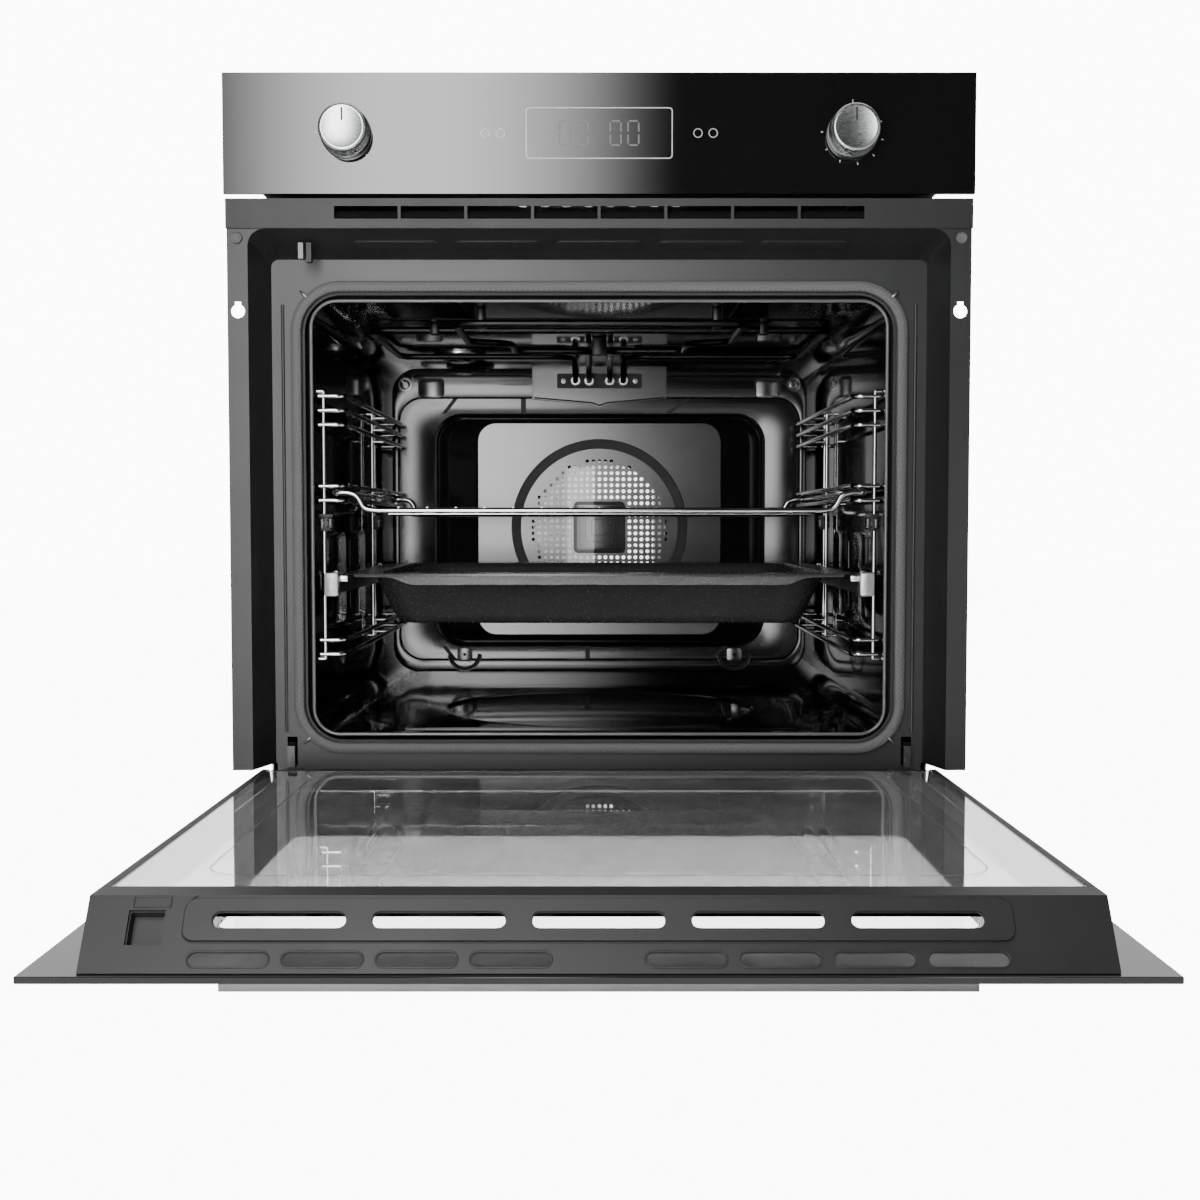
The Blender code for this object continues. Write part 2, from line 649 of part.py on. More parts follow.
def build_fan_cover():
    """Baffle in front of the fan: a rim, a deep channel and a raised plate with the grille."""
    base = COVER_FRONT + COVER_CHANNEL
    outline = rounded(-COVER_HALF, COVER_HALF, COVER_BOTTOM, COVER_TOP, COVER_RADIUS)
    inset = rounded(-COVER_HALF + COVER_RIM, COVER_HALF - COVER_RIM, COVER_BOTTOM + COVER_RIM,
                    COVER_TOP - COVER_RIM, COVER_RADIUS - COVER_RIM / 2)
    raised = rounded(-PLATE_HALF, PLATE_HALF, PLATE_BOTTOM, PLATE_TOP, PLATE_RADIUS)
    hollow = rounded(-PLATE_HALF + SHEET, PLATE_HALF - SHEET, PLATE_BOTTOM + SHEET,
                     PLATE_TOP - SHEET, PLATE_RADIUS - SHEET)
    cover = plate([outline], base, base + SHEET)
    fuse(cover, plate([outline, inset], COVER_FRONT, base + 0.4 * MM))
    fuse(cover, plate([raised], COVER_FRONT + 0.5 * MM, base + 0.4 * MM))
    cut(cover, plate([hollow], COVER_FRONT + 0.5 * MM + SHEET, base + 10 * MM))
    steps = int(GRILLE_RADIUS / GRILLE_PITCH) + 1
    holes = []
    for i in range(-steps, steps + 1):
        for j in range(-steps, steps + 1):
            x, z = i * GRILLE_PITCH, j * GRILLE_PITCH
            if math.hypot(x, z) < GRILLE_RADIUS:
                holes.append(arc((x, FAN_Z + z), GRILLE_HOLE / 2, 30, 330, 5))
    cut(cover, plate(holes, COVER_FRONT - 5 * MM, COVER_FRONT + 8 * MM))
    for x, z in lead_places()[2:]:
        cut(cover, block((x - 5 * MM, COVER_FRONT - 5 * MM, z - 6 * MM),
                         (x + 5 * MM, base + 5 * MM, COVER_TOP + 5 * MM)))
    add(cover, "fan_cover", ENAMEL)


def build_fan():
    """Impeller on the motor's shaft, the motor, and the ring element round the fan."""
    disc_y = CAVITY_REAR - 7 * MM
    hub = rod((0, disc_y - FAN_BLADE_DEPTH, FAN_Z), (0, CAVITY_REAR + 18 * MM, FAN_Z), SHAFT_RADIUS)
    disc = rod((0, disc_y, FAN_Z), (0, disc_y + SHEET, FAN_Z), FAN_RADIUS, 28)
    pieces = [disc, hub]
    for i in range(FAN_BLADES):
        angle = 2 * math.pi * i / FAN_BLADES
        blade = block((FAN_RADIUS * 0.45, -SHEET / 2, -FAN_BLADE_DEPTH),
                      (FAN_RADIUS - 2 * MM, SHEET / 2, 0.6 * MM))
        turn = (Matrix.Translation((0, disc_y, FAN_Z)) @ Matrix.Rotation(-math.pi / 2, 4, "X")
                @ Matrix.Rotation(angle, 4, "Z") @ Matrix.Rotation(0.5, 4, "Z"))
        blade.matrix_world = turn @ Matrix.Translation(blade.location)
        pieces.append(blade)
    add(fuse_all(pieces), "convection_fan", GALVANISED)

    start = CAVITY_REAR + GAP + SHEET + MOTOR_GAP
    motor = block((-MOTOR_HALF, start, FAN_Z - MOTOR_HALF),
                  (MOTOR_HALF, start + 18 * MM, FAN_Z + MOTOR_HALF))
    fuse(motor, block((-MOTOR_HALF * 0.5, start + 1 * MM, FAN_Z - MOTOR_HALF * 1.7),
                      (MOTOR_HALF * 0.5, start + 24 * MM, FAN_Z - MOTOR_HALF * 0.9)))
    fuse(motor, block((-MOTOR_HALF * 2, start, FAN_Z - 9 * MM),
                      (MOTOR_HALF * 2, start + 2 * MM, FAN_Z + 9 * MM)))
    fuse(motor, rod((0, start + 10 * MM, FAN_Z), (0, start + 30 * MM, FAN_Z), 14 * MM, 20))
    cut(motor, rod((0, start - 10 * MM, FAN_Z), (0, start + 16 * MM, FAN_Z),
                   SHAFT_RADIUS + 2 * GAP))
    add(motor, "fan_motor", GALVANISED)

    y = COVER_FRONT + COVER_CHANNEL + 12 * MM
    gap_angle = math.degrees(math.asin(LEAD_SPREAD / RING_RADIUS))
    loop = arc((0, FAN_Z), RING_RADIUS, -90 + gap_angle, 270 - gap_angle, 30)
    leads = [(side * LEAD_SPREAD, CAVITY_REAR + LEAD_RUN, loop[0][1]) for side in (1, -1)]
    points = [leads[0], *at_y(loop, y), leads[1]]
    add(wire(points, ELEMENT_RADIUS), "ring_element", ELEMENT)


def build_upper_elements():
    """Inner and outer loops under the ceiling and the plate that covers their leads."""
    rear = CAVITY_REAR + LEAD_RUN
    drop = GRILL_Z - LEAD_DROP
    x_out, x_in = OUTER_LEAD_X, INNER_LEAD_X
    half = UPPER_HALF
    turn = ELEMENT_TURN
    right = [(x_out, rear, drop), (x_out, BRACKET_Y - 6 * MM, drop),
             (x_out, UPPER_REAR + 20 * MM, UPPER_Z), (x_out + 12 * MM, UPPER_REAR, UPPER_Z),
             (half - turn, UPPER_REAR, UPPER_Z), (half, UPPER_REAR - turn, UPPER_Z),
             (half, UPPER_FRONT + turn, UPPER_Z), (half - turn, UPPER_FRONT, UPPER_Z)]
    outer = right + [(-x, y, z) for x, y, z in reversed(right)]
    add(wire(outer, ELEMENT_RADIUS), "upper_element", ELEMENT)
    right = [(x_in, rear, drop), (x_in, BRACKET_Y - 6 * MM, drop), (x_in, UPPER_REAR, GRILL_Z)]
    right += [(x, y, GRILL_Z) for x, y in GRILL_BENDS]
    inner = right + [(-x, y, z) for x, y, z in reversed(right)]
    add(wire(inner, ELEMENT_RADIUS), "grill_element", ELEMENT)

    top = COVER_TOP + 1.5 * MM
    low = top - BRACKET_HEIGHT
    outline = [(-BRACKET_HALF, top), (-BRACKET_HALF, low + 9 * MM), (-5 * MM, low + 2 * MM),
               (0, low), (5 * MM, low + 2 * MM), (BRACKET_HALF, low + 9 * MM), (BRACKET_HALF, top)]
    holes = [arc((x, drop), ELEMENT_RADIUS + EDGE_GAP, 30, 390, 6)[:-1]
             for x in (-x_out, -x_in, x_in, x_out)]
    bracket = plate([outline, *holes], BRACKET_Y, BRACKET_Y + SHEET)
    add(bracket, "grill_bracket", ENAMEL)


def build_bottom_element():
    """Sheathed element under the cavity's floor."""
    z = CAVITY_BOTTOM - WELL_DEPTH - SHEET - ELEMENT_RADIUS - 1.5 * MM
    right = [(LEAD_SPREAD, CAVITY_REAR - 20 * MM, z), (LEAD_SPREAD, BOTTOM_REAR, z),
             (BOTTOM_HALF, BOTTOM_REAR, z), (BOTTOM_HALF, BOTTOM_FRONT, z),
             (30 * MM, BOTTOM_FRONT, z), (30 * MM, BOTTOM_FRONT + 130 * MM, z)]
    path = right + [(-x, y, zz) for x, y, zz in reversed(right)]
    add(wire(path, ELEMENT_RADIUS), "bottom_element", ELEMENT)


def build_cavity_fittings():
    """Temperature probe through the cavity's back and the lamp's lens in its ceiling."""
    z = COVER_TOP + 6 * MM
    probe = wire([(PROBE_X, CAVITY_REAR - 12 * MM, z), (PROBE_X, UPPER_REAR + 10 * MM, z)],
                 PROBE_RADIUS)
    add(probe, "temperature_probe", CHROME)
    profile = [(0, -GAP), (LAMP_RADIUS, -GAP), (LAMP_RADIUS - 4 * MM, -5 * MM),
               (LAMP_RADIUS - 13 * MM, -10 * MM), (0, -11 * MM)]
    lens = turned(profile, (LAMP_X, LAMP_Y, CAVITY_TOP), (0, 0, 1), 20)
    add(lens, "lamp_lens", CLEAR_GLASS)


def build_side_racks():
    """Chromed wire ladders that hold the shelf and the rails."""
    wall = CAVITY_HALF - RACK_WIRE - GAP
    rod_x = RACK_X + ROD_OFFSET
    bottom = RACK_LEVELS[0] - LEVEL_DROP - 4 * MM
    top = RACK_LEVELS[-1] + 4 * MM
    for word, side in SIDES:
        heights = [z - LEVEL_DROP * k for z in RACK_LEVELS for k in (0, 1)]
        heights.append(RACK_LEVELS[-1] - LEVELS_TOP_EXTRA * LEVEL_DROP)
        pieces = [wire([(side * rod_x, RACK_FRONT + y, bottom), (side * rod_x, RACK_FRONT + y, top)],
                       RACK_ROD) for y in RACK_UPRIGHTS]
        for z in heights:
            path = mirrored([(wall, RACK_FRONT, z), (RACK_X, RACK_FRONT, z),
                             (RACK_X, RACK_REAR, z), (wall, RACK_REAR, z)], side)
            pieces.append(wire(path, RACK_WIRE))
        for y in RACK_UPRIGHTS[1:]:
            for z in heights:
                path = mirrored([(rod_x, RACK_FRONT + y, z), (RACK_X, RACK_FRONT + y, z)], side)
                pieces.append(wire(path, RACK_ROD))
        add(fuse_all(pieces), f"side_rack_{word}", CHROME)


def build_rails():
    """Two-part telescopic rails: the outer hangs on the rack, the inner carries the tray."""
    bottom = RAIL_TOP - RAIL_HEIGHT
    rear = RAIL_REAR
    for word, side in SIDES:
        outer, inner = RAIL_OUTER_X, RAIL_INNER_X
        x = sorted((side * outer, side * inner))
        fixed = block((x[0], RAIL_FRONT, bottom), (x[1], rear, RAIL_TOP))
        groove = across(side, inner - 5 * MM, outer - RAIL_SHEET)
        cut(fixed, block((groove[0], RAIL_FRONT - 5 * MM, bottom + RAIL_SHEET),
                         (groove[1], rear + 5 * MM, RAIL_TOP - RAIL_SHEET)))
        add(fixed, f"rail_fixed_{word}", GALVANISED)

        low, high = bottom + RAIL_SHEET + GAP, RAIL_TOP - RAIL_SHEET - GAP
        reach = outer - RAIL_SHEET - GAP
        ledge = TRAY_HALF - 6 * MM
        web = across(side, inner - 1.6 * MM, reach)
        moving = block((web[0], RAIL_FRONT + 1 * MM, low), (web[1], rear, high))
        shelf = across(side, ledge, inner - 0.3 * MM)
        fuse(moving, block((shelf[0], RAIL_FRONT + 2 * MM, high - 3 * MM),
                           (shelf[1], rear - 1 * MM, RAIL_TOP)))
        cap = across(side, TRAY_HALF + GAP, TRAY_HALF + GAP + RAIL_CAP_WIDTH)
        fuse(moving, block((cap[0], RAIL_FRONT - 8 * MM, RAIL_TOP + 3 * MM - RAIL_CAP_HEIGHT),
                           (cap[1], RAIL_FRONT + 3 * MM, RAIL_TOP + 3 * MM)))
        room = across(side, inner - GAP, outer + 9 * MM)
        cut(moving, block((room[0], RAIL_FRONT - GAP, bottom - 9 * MM),
                          (room[1], RAIL_FRONT + 3.3 * MM, RAIL_TOP + 9 * MM)))
        add(moving, f"rail_inner_{word}", PALE_METAL)


def build_shelf():
    """Wire shelf that slides between a pair of rack wires; its grid hangs below its side rods."""
    side_x = CAVITY_HALF - SHELF_CLEARANCE - SHELF_ROD
    top = RACK_LEVELS[SHELF_LEVEL] - LEVEL_DROP / 2 + 0.4 * MM
    low = top - SHELF_DROP
    end = side_x - 28 * MM
    pieces = []
    frame = []
    for y, direction in ((SHELF_FRONT, 1), (SHELF_REAR, -1)):
        frame += [(-direction * side_x, y, top), (-direction * (side_x - 12 * MM), y, top),
                  (-direction * end, y, low), (direction * end, y, low),
                  (direction * (side_x - 12 * MM), y, top), (direction * side_x, y, top)]
    pieces.append(wire(frame, SHELF_ROD, closed=True))
    for y in (SHELF_FRONT + 95 * MM, SHELF_REAR - 95 * MM):
        pieces.append(wire([(-end + 4 * MM, y, low - 2.2 * MM), (end - 4 * MM, y, low - 2.2 * MM)],
                           2 * MM, 0))
    for i in range(SHELF_WIRES):
        x = (i - (SHELF_WIRES - 1) / 2) * SHELF_WIRE_PITCH
        pieces.append(wire([(x, SHELF_FRONT, low + 0.2 * MM), (x, SHELF_REAR, low + 0.2 * MM)],
                           SHELF_WIRE, 0))
    add(fuse_all(pieces), "wire_shelf", CHROME)


def build_tray():
    """Deep enamelled tray with a flat rim and a lip turned down at the front."""
    half = TRAY_HALF
    mid = (TRAY_FRONT + TRAY_REAR) / 2
    run = (TRAY_REAR - TRAY_FRONT) / 2

    def ring(inset, radius, z):
        """The tray's section at a height, an inset in from its rim."""
        return at_z([(x, y + mid) for x, y in rounded(-half + inset, half - inset, -run + inset,
                                                      run - inset, radius, 5)], z)

    low = TRAY_RIM_Z - TRAY_DEPTH
    slope = TRAY_RIM + TRAY_SLOPE
    outside = [ring(0, 14 * MM, TRAY_RIM_Z), ring(0, 14 * MM, TRAY_RIM_Z - TRAY_SHEET),
               ring(TRAY_RIM, 30 * MM, TRAY_RIM_Z - TRAY_SHEET),
               ring(slope - 2 * MM, 26 * MM, low + 8 * MM), ring(slope + 8 * MM, 22 * MM, low)]
    tray = loft(outside)
    deep = TRAY_SHEET
    inside = [ring(TRAY_RIM + deep - 3 * MM, 30 * MM, TRAY_RIM_Z + 5 * MM),
              ring(TRAY_RIM + deep, 29 * MM, TRAY_RIM_Z - 1 * MM),
              ring(slope - 2 * MM + deep, 25 * MM, low + 8 * MM + deep * 0.4),
              ring(slope + 8 * MM + deep * 0.6, 21 * MM, low + deep)]
    cut(tray, loft(inside))
    top = TRAY_RIM_Z - 0.2 * MM
    shallow = top - 3 * MM
    lip = [(-half + 12 * MM, top), (-half + 12 * MM, shallow), (-half + 39 * MM, shallow - 0.3 * MM),
           (-half + 61 * MM, top - TRAY_LIP)]
    lip += [(-x, z) for x, z in reversed(lip)]
    fuse(tray, plate([lip], TRAY_FRONT + 0.2 * MM, TRAY_FRONT + 1.4 * MM))
    add(tray, "baking_tray", ENAMEL)


def build_catch():
    """Hook and sprung lever that hang from the recess's ceiling and enter the door's pocket."""
    for name, x, reach, look in (("door_lock_hook", HOOK_X, 2.6 * MM, GALVANISED),
                                 ("light_switch_lever", LEVER_X, 0, BLACK_PLASTIC)):
        low = CATCH_BOTTOM_Z + reach - CATCH_PIVOT_Z
        half, deep = CATCH_WIDTH / 2, CATCH_DEPTH / 2
        lever = block((x - half, CATCH_Y - deep, CATCH_PIVOT_Z + low),
                      (x + half, CATCH_Y + deep, CATCH_PIVOT_Z - GAP))
        lever.data.transform(Matrix.Translation((0, 0, low / 2)))
        lever.location = (x, CATCH_Y, CATCH_PIVOT_Z - GAP / 2)
        foot = block((x - half, CATCH_Y - deep, CATCH_PIVOT_Z + low),
                     (x + half, CATCH_Y + deep + 2.5 * MM, CATCH_PIVOT_Z + low + 3 * MM))
        fuse(lever, foot)
        add(lever, name, look)


def build_body():
    """Base, sides, top and rear covers, the insulation round the cavity and the cable's inlet."""
    back = RECESS_DEPTH + SHEET + EDGE_GAP
    inner = SIDE_X - SHEET - GAP
    base = block((-inner, -4 * MM, 0), (inner, BODY_DEPTH, SHEET))
    add(base, "base_panel", GALVANISED)
    for word, side in SIDES:
        x = across(side, SIDE_X - SHEET, SIDE_X)
        panel = block((x[0], back, 0.5 * MM), (x[1], BODY_DEPTH, BODY_TOP - SHEET - GAP))
        lug = across(side, SIDE_X - 14 * MM, SIDE_X - 0.5 * MM)
        fuse(panel, block((lug[0], BODY_DEPTH - SHEET, 10 * MM),
                          (lug[1], BODY_DEPTH - 0.1 * MM, BODY_TOP - 20 * MM)))
        add(panel, f"side_panel_{word}", GALVANISED)
    top = block((-SIDE_X, back, BODY_TOP - SHEET), (SIDE_X, BODY_DEPTH, BODY_TOP))
    for i in range(8):
        x = (i - 3.5) * 24 * MM
        cut(top, block((x - 4 * MM, BLOWER_Y - 50 * MM, BODY_TOP - 9 * MM),
                       (x + 4 * MM, BLOWER_Y + 40 * MM, BODY_TOP + 9 * MM)))
    add(top, "top_cover", GALVANISED)

    slots = []
    for row in range(2):
        for i in range(8):
            x, z = (i - 3.5) * 30 * MM, FAN_Z + 150 * MM + row * 34 * MM
            slots.append(rectangle(x - 11 * MM, x + 11 * MM, z, z + 5 * MM))
    slots.append(arc((GLAND_X, GLAND_Z), 7 * MM + GAP, 0, 345, 16))
    rear = plate([rectangle(-SIDE_X, SIDE_X, 0.5 * MM, BODY_TOP), *slots], BODY_DEPTH + GAP,
                 BODY_DEPTH + GAP + SHEET)
    add(rear, "rear_cover", GALVANISED)

    gland = [(3.5 * MM, 12 * MM), (GLAND_RADIUS - 3 * MM, 12 * MM), (GLAND_RADIUS, 8 * MM),
             (GLAND_RADIUS, SHEET + 2 * GAP), (7 * MM, SHEET + 2 * GAP), (7 * MM, -6 * MM),
             (3.5 * MM, -6 * MM), (3.5 * MM, 12 * MM)]
    piece = turned(gland, (GLAND_X, BODY_DEPTH, GLAND_Z), (0, 1, 0), 16)
    add(piece, "cable_gland", BLACK_PLASTIC)
    block_low = (GLAND_X - 35 * MM, BODY_DEPTH - 60 * MM, GLAND_Z - 12 * MM)
    block_high = (GLAND_X + 25 * MM, BODY_DEPTH - 25 * MM, GLAND_Z + 12 * MM)
    terminal = block(block_low, block_high)
    for i in range(5):
        x = block_low[0] + (6 + 12 * i) * MM
        cut(terminal, block((x - 3 * MM, block_low[1] - 5 * MM, GLAND_Z + 3 * MM),
                            (x + 3 * MM, block_high[1] + 5 * MM, GLAND_Z + 20 * MM)))
    add(terminal, "terminal_block", CERAMIC)

    near = LIP_WIDTH + 0.5 * MM

    def around(margin, below=0.0):
        """The cavity's section at a margin outside it, and lower by some more."""
        return rounded(-CAVITY_HALF - margin, CAVITY_HALF + margin, CAVITY_BOTTOM - margin - below,
                       CAVITY_TOP + margin, CAVITY_RADIUS + margin, 3)

    wool = plate([around(near + WOOL, BOTTOM_SPACE), around(near, BOTTOM_SPACE)],
                 back + 16 * MM, CAVITY_REAR)
    add(wool, "insulation_blanket", WOOL_LOOK)


def build_blower():
    """Tangential blower over the cavity and the duct that leads its air to the vent strip."""
    roof = STRIP_TOP - 3 * MM
    floor = roof - DUCT_HEIGHT
    front, rear = RECESS_DEPTH, BLOWER_Y - 40 * MM
    duct = block((-DUCT_HALF, front, floor), (DUCT_HALF, rear, roof))
    cut(duct, block((-DUCT_HALF + SHEET, front - 9 * MM, floor + SHEET),
                    (DUCT_HALF - SHEET, rear + 9 * MM, roof - SHEET)))
    add(duct, "air_duct", GALVANISED)

    wall = 2 * MM
    radius = BLOWER_RADIUS + 7 * MM
    low = BLOWER_Z - radius - wall
    shell = [(BLOWER_Y - radius - wall, low)]
    shell += arc((BLOWER_Y, BLOWER_Z), radius + wall, 270, 430, 10)
    shell += reversed(arc((BLOWER_Y, BLOWER_Z), radius, 270, 430, 10))
    shell += [(BLOWER_Y - radius - wall, low + wall)]
    housing = plate([shell], -BLOWER_HALF - 6 * MM, BLOWER_HALF + 6 * MM, ALONG)
    for side in (-1, 1):
        x = across(side, BLOWER_HALF + 4 * MM, BLOWER_HALF + 6 * MM)
        end = plate([rectangle(BLOWER_Y - radius - wall, BLOWER_Y + radius + 1 * MM, low + 0.2 * MM,
                               BLOWER_Z + radius)], *x, ALONG)
        fuse(housing, end)
    cut(housing, rod((-BLOWER_HALF * 2, BLOWER_Y, BLOWER_Z), (BLOWER_HALF * 2, BLOWER_Y, BLOWER_Z),
                     SHAFT_RADIUS + 1 * MM))
    add(housing, "blower_housing", GALVANISED)

    half = BLOWER_HALF
    pieces = [rod((x, BLOWER_Y, BLOWER_Z), (x + 1.5 * MM, BLOWER_Y, BLOWER_Z), BLOWER_RADIUS, 24)
              for x in (-half, 0, half - 1.5 * MM)]
    pieces.append(rod((-half - 12 * MM, BLOWER_Y, BLOWER_Z), (half + 14 * MM, BLOWER_Y, BLOWER_Z),
                      SHAFT_RADIUS))
    for i in range(BLOWER_BLADES):
        angle = 2 * math.pi * i / BLOWER_BLADES
        y = BLOWER_Y + (BLOWER_RADIUS - 4 * MM) * math.cos(angle)
        z = BLOWER_Z + (BLOWER_RADIUS - 4 * MM) * math.sin(angle)
        blade = block((-half + 0.5 * MM, -3.2 * MM, -0.5 * MM), (half - 0.5 * MM, 3.2 * MM, 0.5 * MM))
        blade.location = (0, y, z)
        blade.rotation_euler = (angle + 0.6, 0, 0)
        pieces.append(blade)
    add(fuse_all(pieces), "blower_rotor", GALVANISED)

    start = half + 9 * MM
    motor = block((start, BLOWER_Y - 24 * MM, BLOWER_Z - 24 * MM),
                  (start + 26 * MM, BLOWER_Y + 24 * MM, BLOWER_Z + 24 * MM))
    cut(motor, rod((start - 9 * MM, BLOWER_Y, BLOWER_Z), (start + 14 * MM, BLOWER_Y, BLOWER_Z),
                   SHAFT_RADIUS + GAP))
    add(motor, "blower_motor", GALVANISED)


def build_controls():
    """Glass control panel, the carrier behind it, display, board, switches and knobs."""
    front = DOOR_OUTER_FACE
    back = front + PANEL_GLASS
    holes = [arc((side * KNOB_X, PANEL_MID_Z), SPINDLE_RADIUS + 2 * MM, 0, 345, 12)
             for _, side in SIDES]
    glass = plate([rectangle(-FASCIA_HALF, FASCIA_HALF, PANEL_BOTTOM, FRONT_TOP), *holes],
                  front, back)
    add(glass, "control_fascia", DARK_GLASS)

    deep = 45 * MM
    half = FLOOR_HALF - 2 * MM
    low, high = PANEL_BOTTOM + 1 * MM, FRONT_TOP - 9 * MM
    carrier = block((-half, back + GAP, low), (half, deep, high))
    cut(carrier, block((-half + 2 * MM, back + 2.3 * MM, low + 2 * MM),
                       (half - 2 * MM, deep + 9 * MM, high - 2 * MM)))
    for _, side in SIDES:
        cut(carrier, rod((side * KNOB_X, back - 9 * MM, PANEL_MID_Z),
                         (side * KNOB_X, back + 9 * MM, PANEL_MID_Z), SPINDLE_RADIUS + 2 * MM))
    cut(carrier, block((-DISPLAY_HALF - EDGE_GAP, back - 9 * MM, PANEL_MID_Z - 18 * MM - EDGE_GAP),
                       (DISPLAY_HALF + EDGE_GAP, back + 9 * MM, PANEL_MID_Z + 18 * MM + EDGE_GAP)))
    add(carrier, "panel_carrier", BLACK_PLASTIC)

    display = block((-DISPLAY_HALF, back + GAP, PANEL_MID_Z - 18 * MM),
                    (DISPLAY_HALF, back + 9 * MM, PANEL_MID_Z + 18 * MM))
    add(display, "display_module", DARK_GLASS)
    board = block((-DISPLAY_HALF - 20 * MM, back + 9.3 * MM, PANEL_MID_Z - 30 * MM),
                  (DISPLAY_HALF + 20 * MM, back + 10.9 * MM, PANEL_MID_Z + 30 * MM))
    for i in range(4):
        x = (i - 1.5) * 34 * MM
        fuse(board, block((x - 8 * MM, back + 10 * MM, PANEL_MID_Z - 20 * MM),
                          (x + 8 * MM, back + 22 * MM, PANEL_MID_Z + 6 * MM)))
    add(board, "control_board", BOARD)

    for word, side in SIDES:
        x = side * KNOB_X
        switch = block((x - 20 * MM, back + 2.6 * MM, PANEL_MID_Z - 20 * MM),
                       (x + 20 * MM, back + 32 * MM, PANEL_MID_Z + 20 * MM))
        cut(switch, rod((x, back - 9 * MM, PANEL_MID_Z), (x, back + 20 * MM, PANEL_MID_Z),
                        SPINDLE_RADIUS + GAP))
        add(switch, f"selector_{word}", CERAMIC)
        start = 0.8 * MM
        profile = [(0, start + KNOB_LENGTH), (KNOB_RADIUS - 2.5 * MM, start + KNOB_LENGTH),
                   (KNOB_RADIUS - 1 * MM, start + KNOB_LENGTH - 2 * MM), (KNOB_RADIUS, start),
                   (SPINDLE_RADIUS, start), (SPINDLE_RADIUS, -PANEL_GLASS - 18 * MM),
                   (0, -PANEL_GLASS - 18 * MM)]
        knob = turned(profile, (x, front, PANEL_MID_Z), (0, -1, 0), 28)
        add(knob, f"knob_{word}", PALE_METAL)


door = bpy.data.objects.new("door_axis", None)
oven.objects.link(door)
door.location = (0, HINGE_Y, HINGE_Z)


def hang(obj):
    """Make a piece given in the closed door's place, and what cuts or joins it, turn on the hinge."""
    for step in obj.modifiers:
        if step.type == "BOOLEAN" and step.object:
            hang(step.object)
        elif step.type == "BOOLEAN":
            for piece in step.collection.objects:
                hang(piece)
    obj.parent = door
    obj.matrix_parent_inverse = Matrix.Translation((0, -HINGE_Y, -HINGE_Z))
    return obj


def trim_point(across_slope, depth=0.0):
    """Closed door's Y and Z at a distance down the trim's slanted face, and depth behind it."""
    run = Vector((DOOR_GLASS_BACK + GAP - DOOR_INNER_FACE, TRIM_OUTER_Z - TRIM_INNER_Z)).normalized()
    normal = Vector((-run[1], run[0]))
    start = Vector((DOOR_INNER_FACE, TRIM_INNER_Z))
    return start + run * across_slope + normal * depth


def slope_frame():
    """Matrix that puts an outline in X and distance down the slope onto the trim's slanted face."""
    origin = trim_point(0)
    run = trim_point(1) - origin
    return Matrix(((1, 0, 0, 0), (0, run[0], -run[1], origin[0]),
                   (0, run[1], run[0], origin[1]), (0, 0, 0, 1)))


def on_slope(outlines, low, high):
    """A flat outline laid on the trim's slanted face; low and high are heights above it."""
    piece = plate(outlines, low, high, FLAT)
    piece.matrix_world = slope_frame() @ piece.matrix_world
    return piece


def stadium(centre_x, centre_v, length, height, steps=4):
    """The outline of a slot with round ends."""
    half, radius = length / 2, height / 2
    return rounded(centre_x - half, centre_x + half, centre_v - radius, centre_v + radius,
                   radius * 0.98, steps)


def build_door_glass():
    """Outer, middle and inner panes."""
    glass = plate([rectangle(-FASCIA_HALF, FASCIA_HALF, DOOR_BOTTOM, DOOR_TOP)], DOOR_OUTER_FACE,
                  DOOR_GLASS_BACK)
    add(hang(glass), "outer_glass", DARK_GLASS)
    inner = DOOR_HALF - STILE_STRIP - GAP
    top = TRIM_INNER_Z - TRIM_TOP_FLAT - GAP
    glass = plate([rectangle(-inner, inner, INNER_GLASS_BOTTOM, top)], DOOR_INNER_FACE - GLASS,
                  DOOR_INNER_FACE)
    add(hang(glass), "inner_glass", DARK_GLASS)
    middle = HINGE_X - CLAW_WIDTH / 2 - CLAW_SIDE_GAP - EAR - 1 * MM
    glass = plate([rectangle(-middle, middle, INNER_GLASS_BOTTOM + 9 * MM, top - 20 * MM)],
                  10 * MM, 10 * MM + GLASS)
    add(hang(glass), "middle_glass", CLEAR_GLASS)


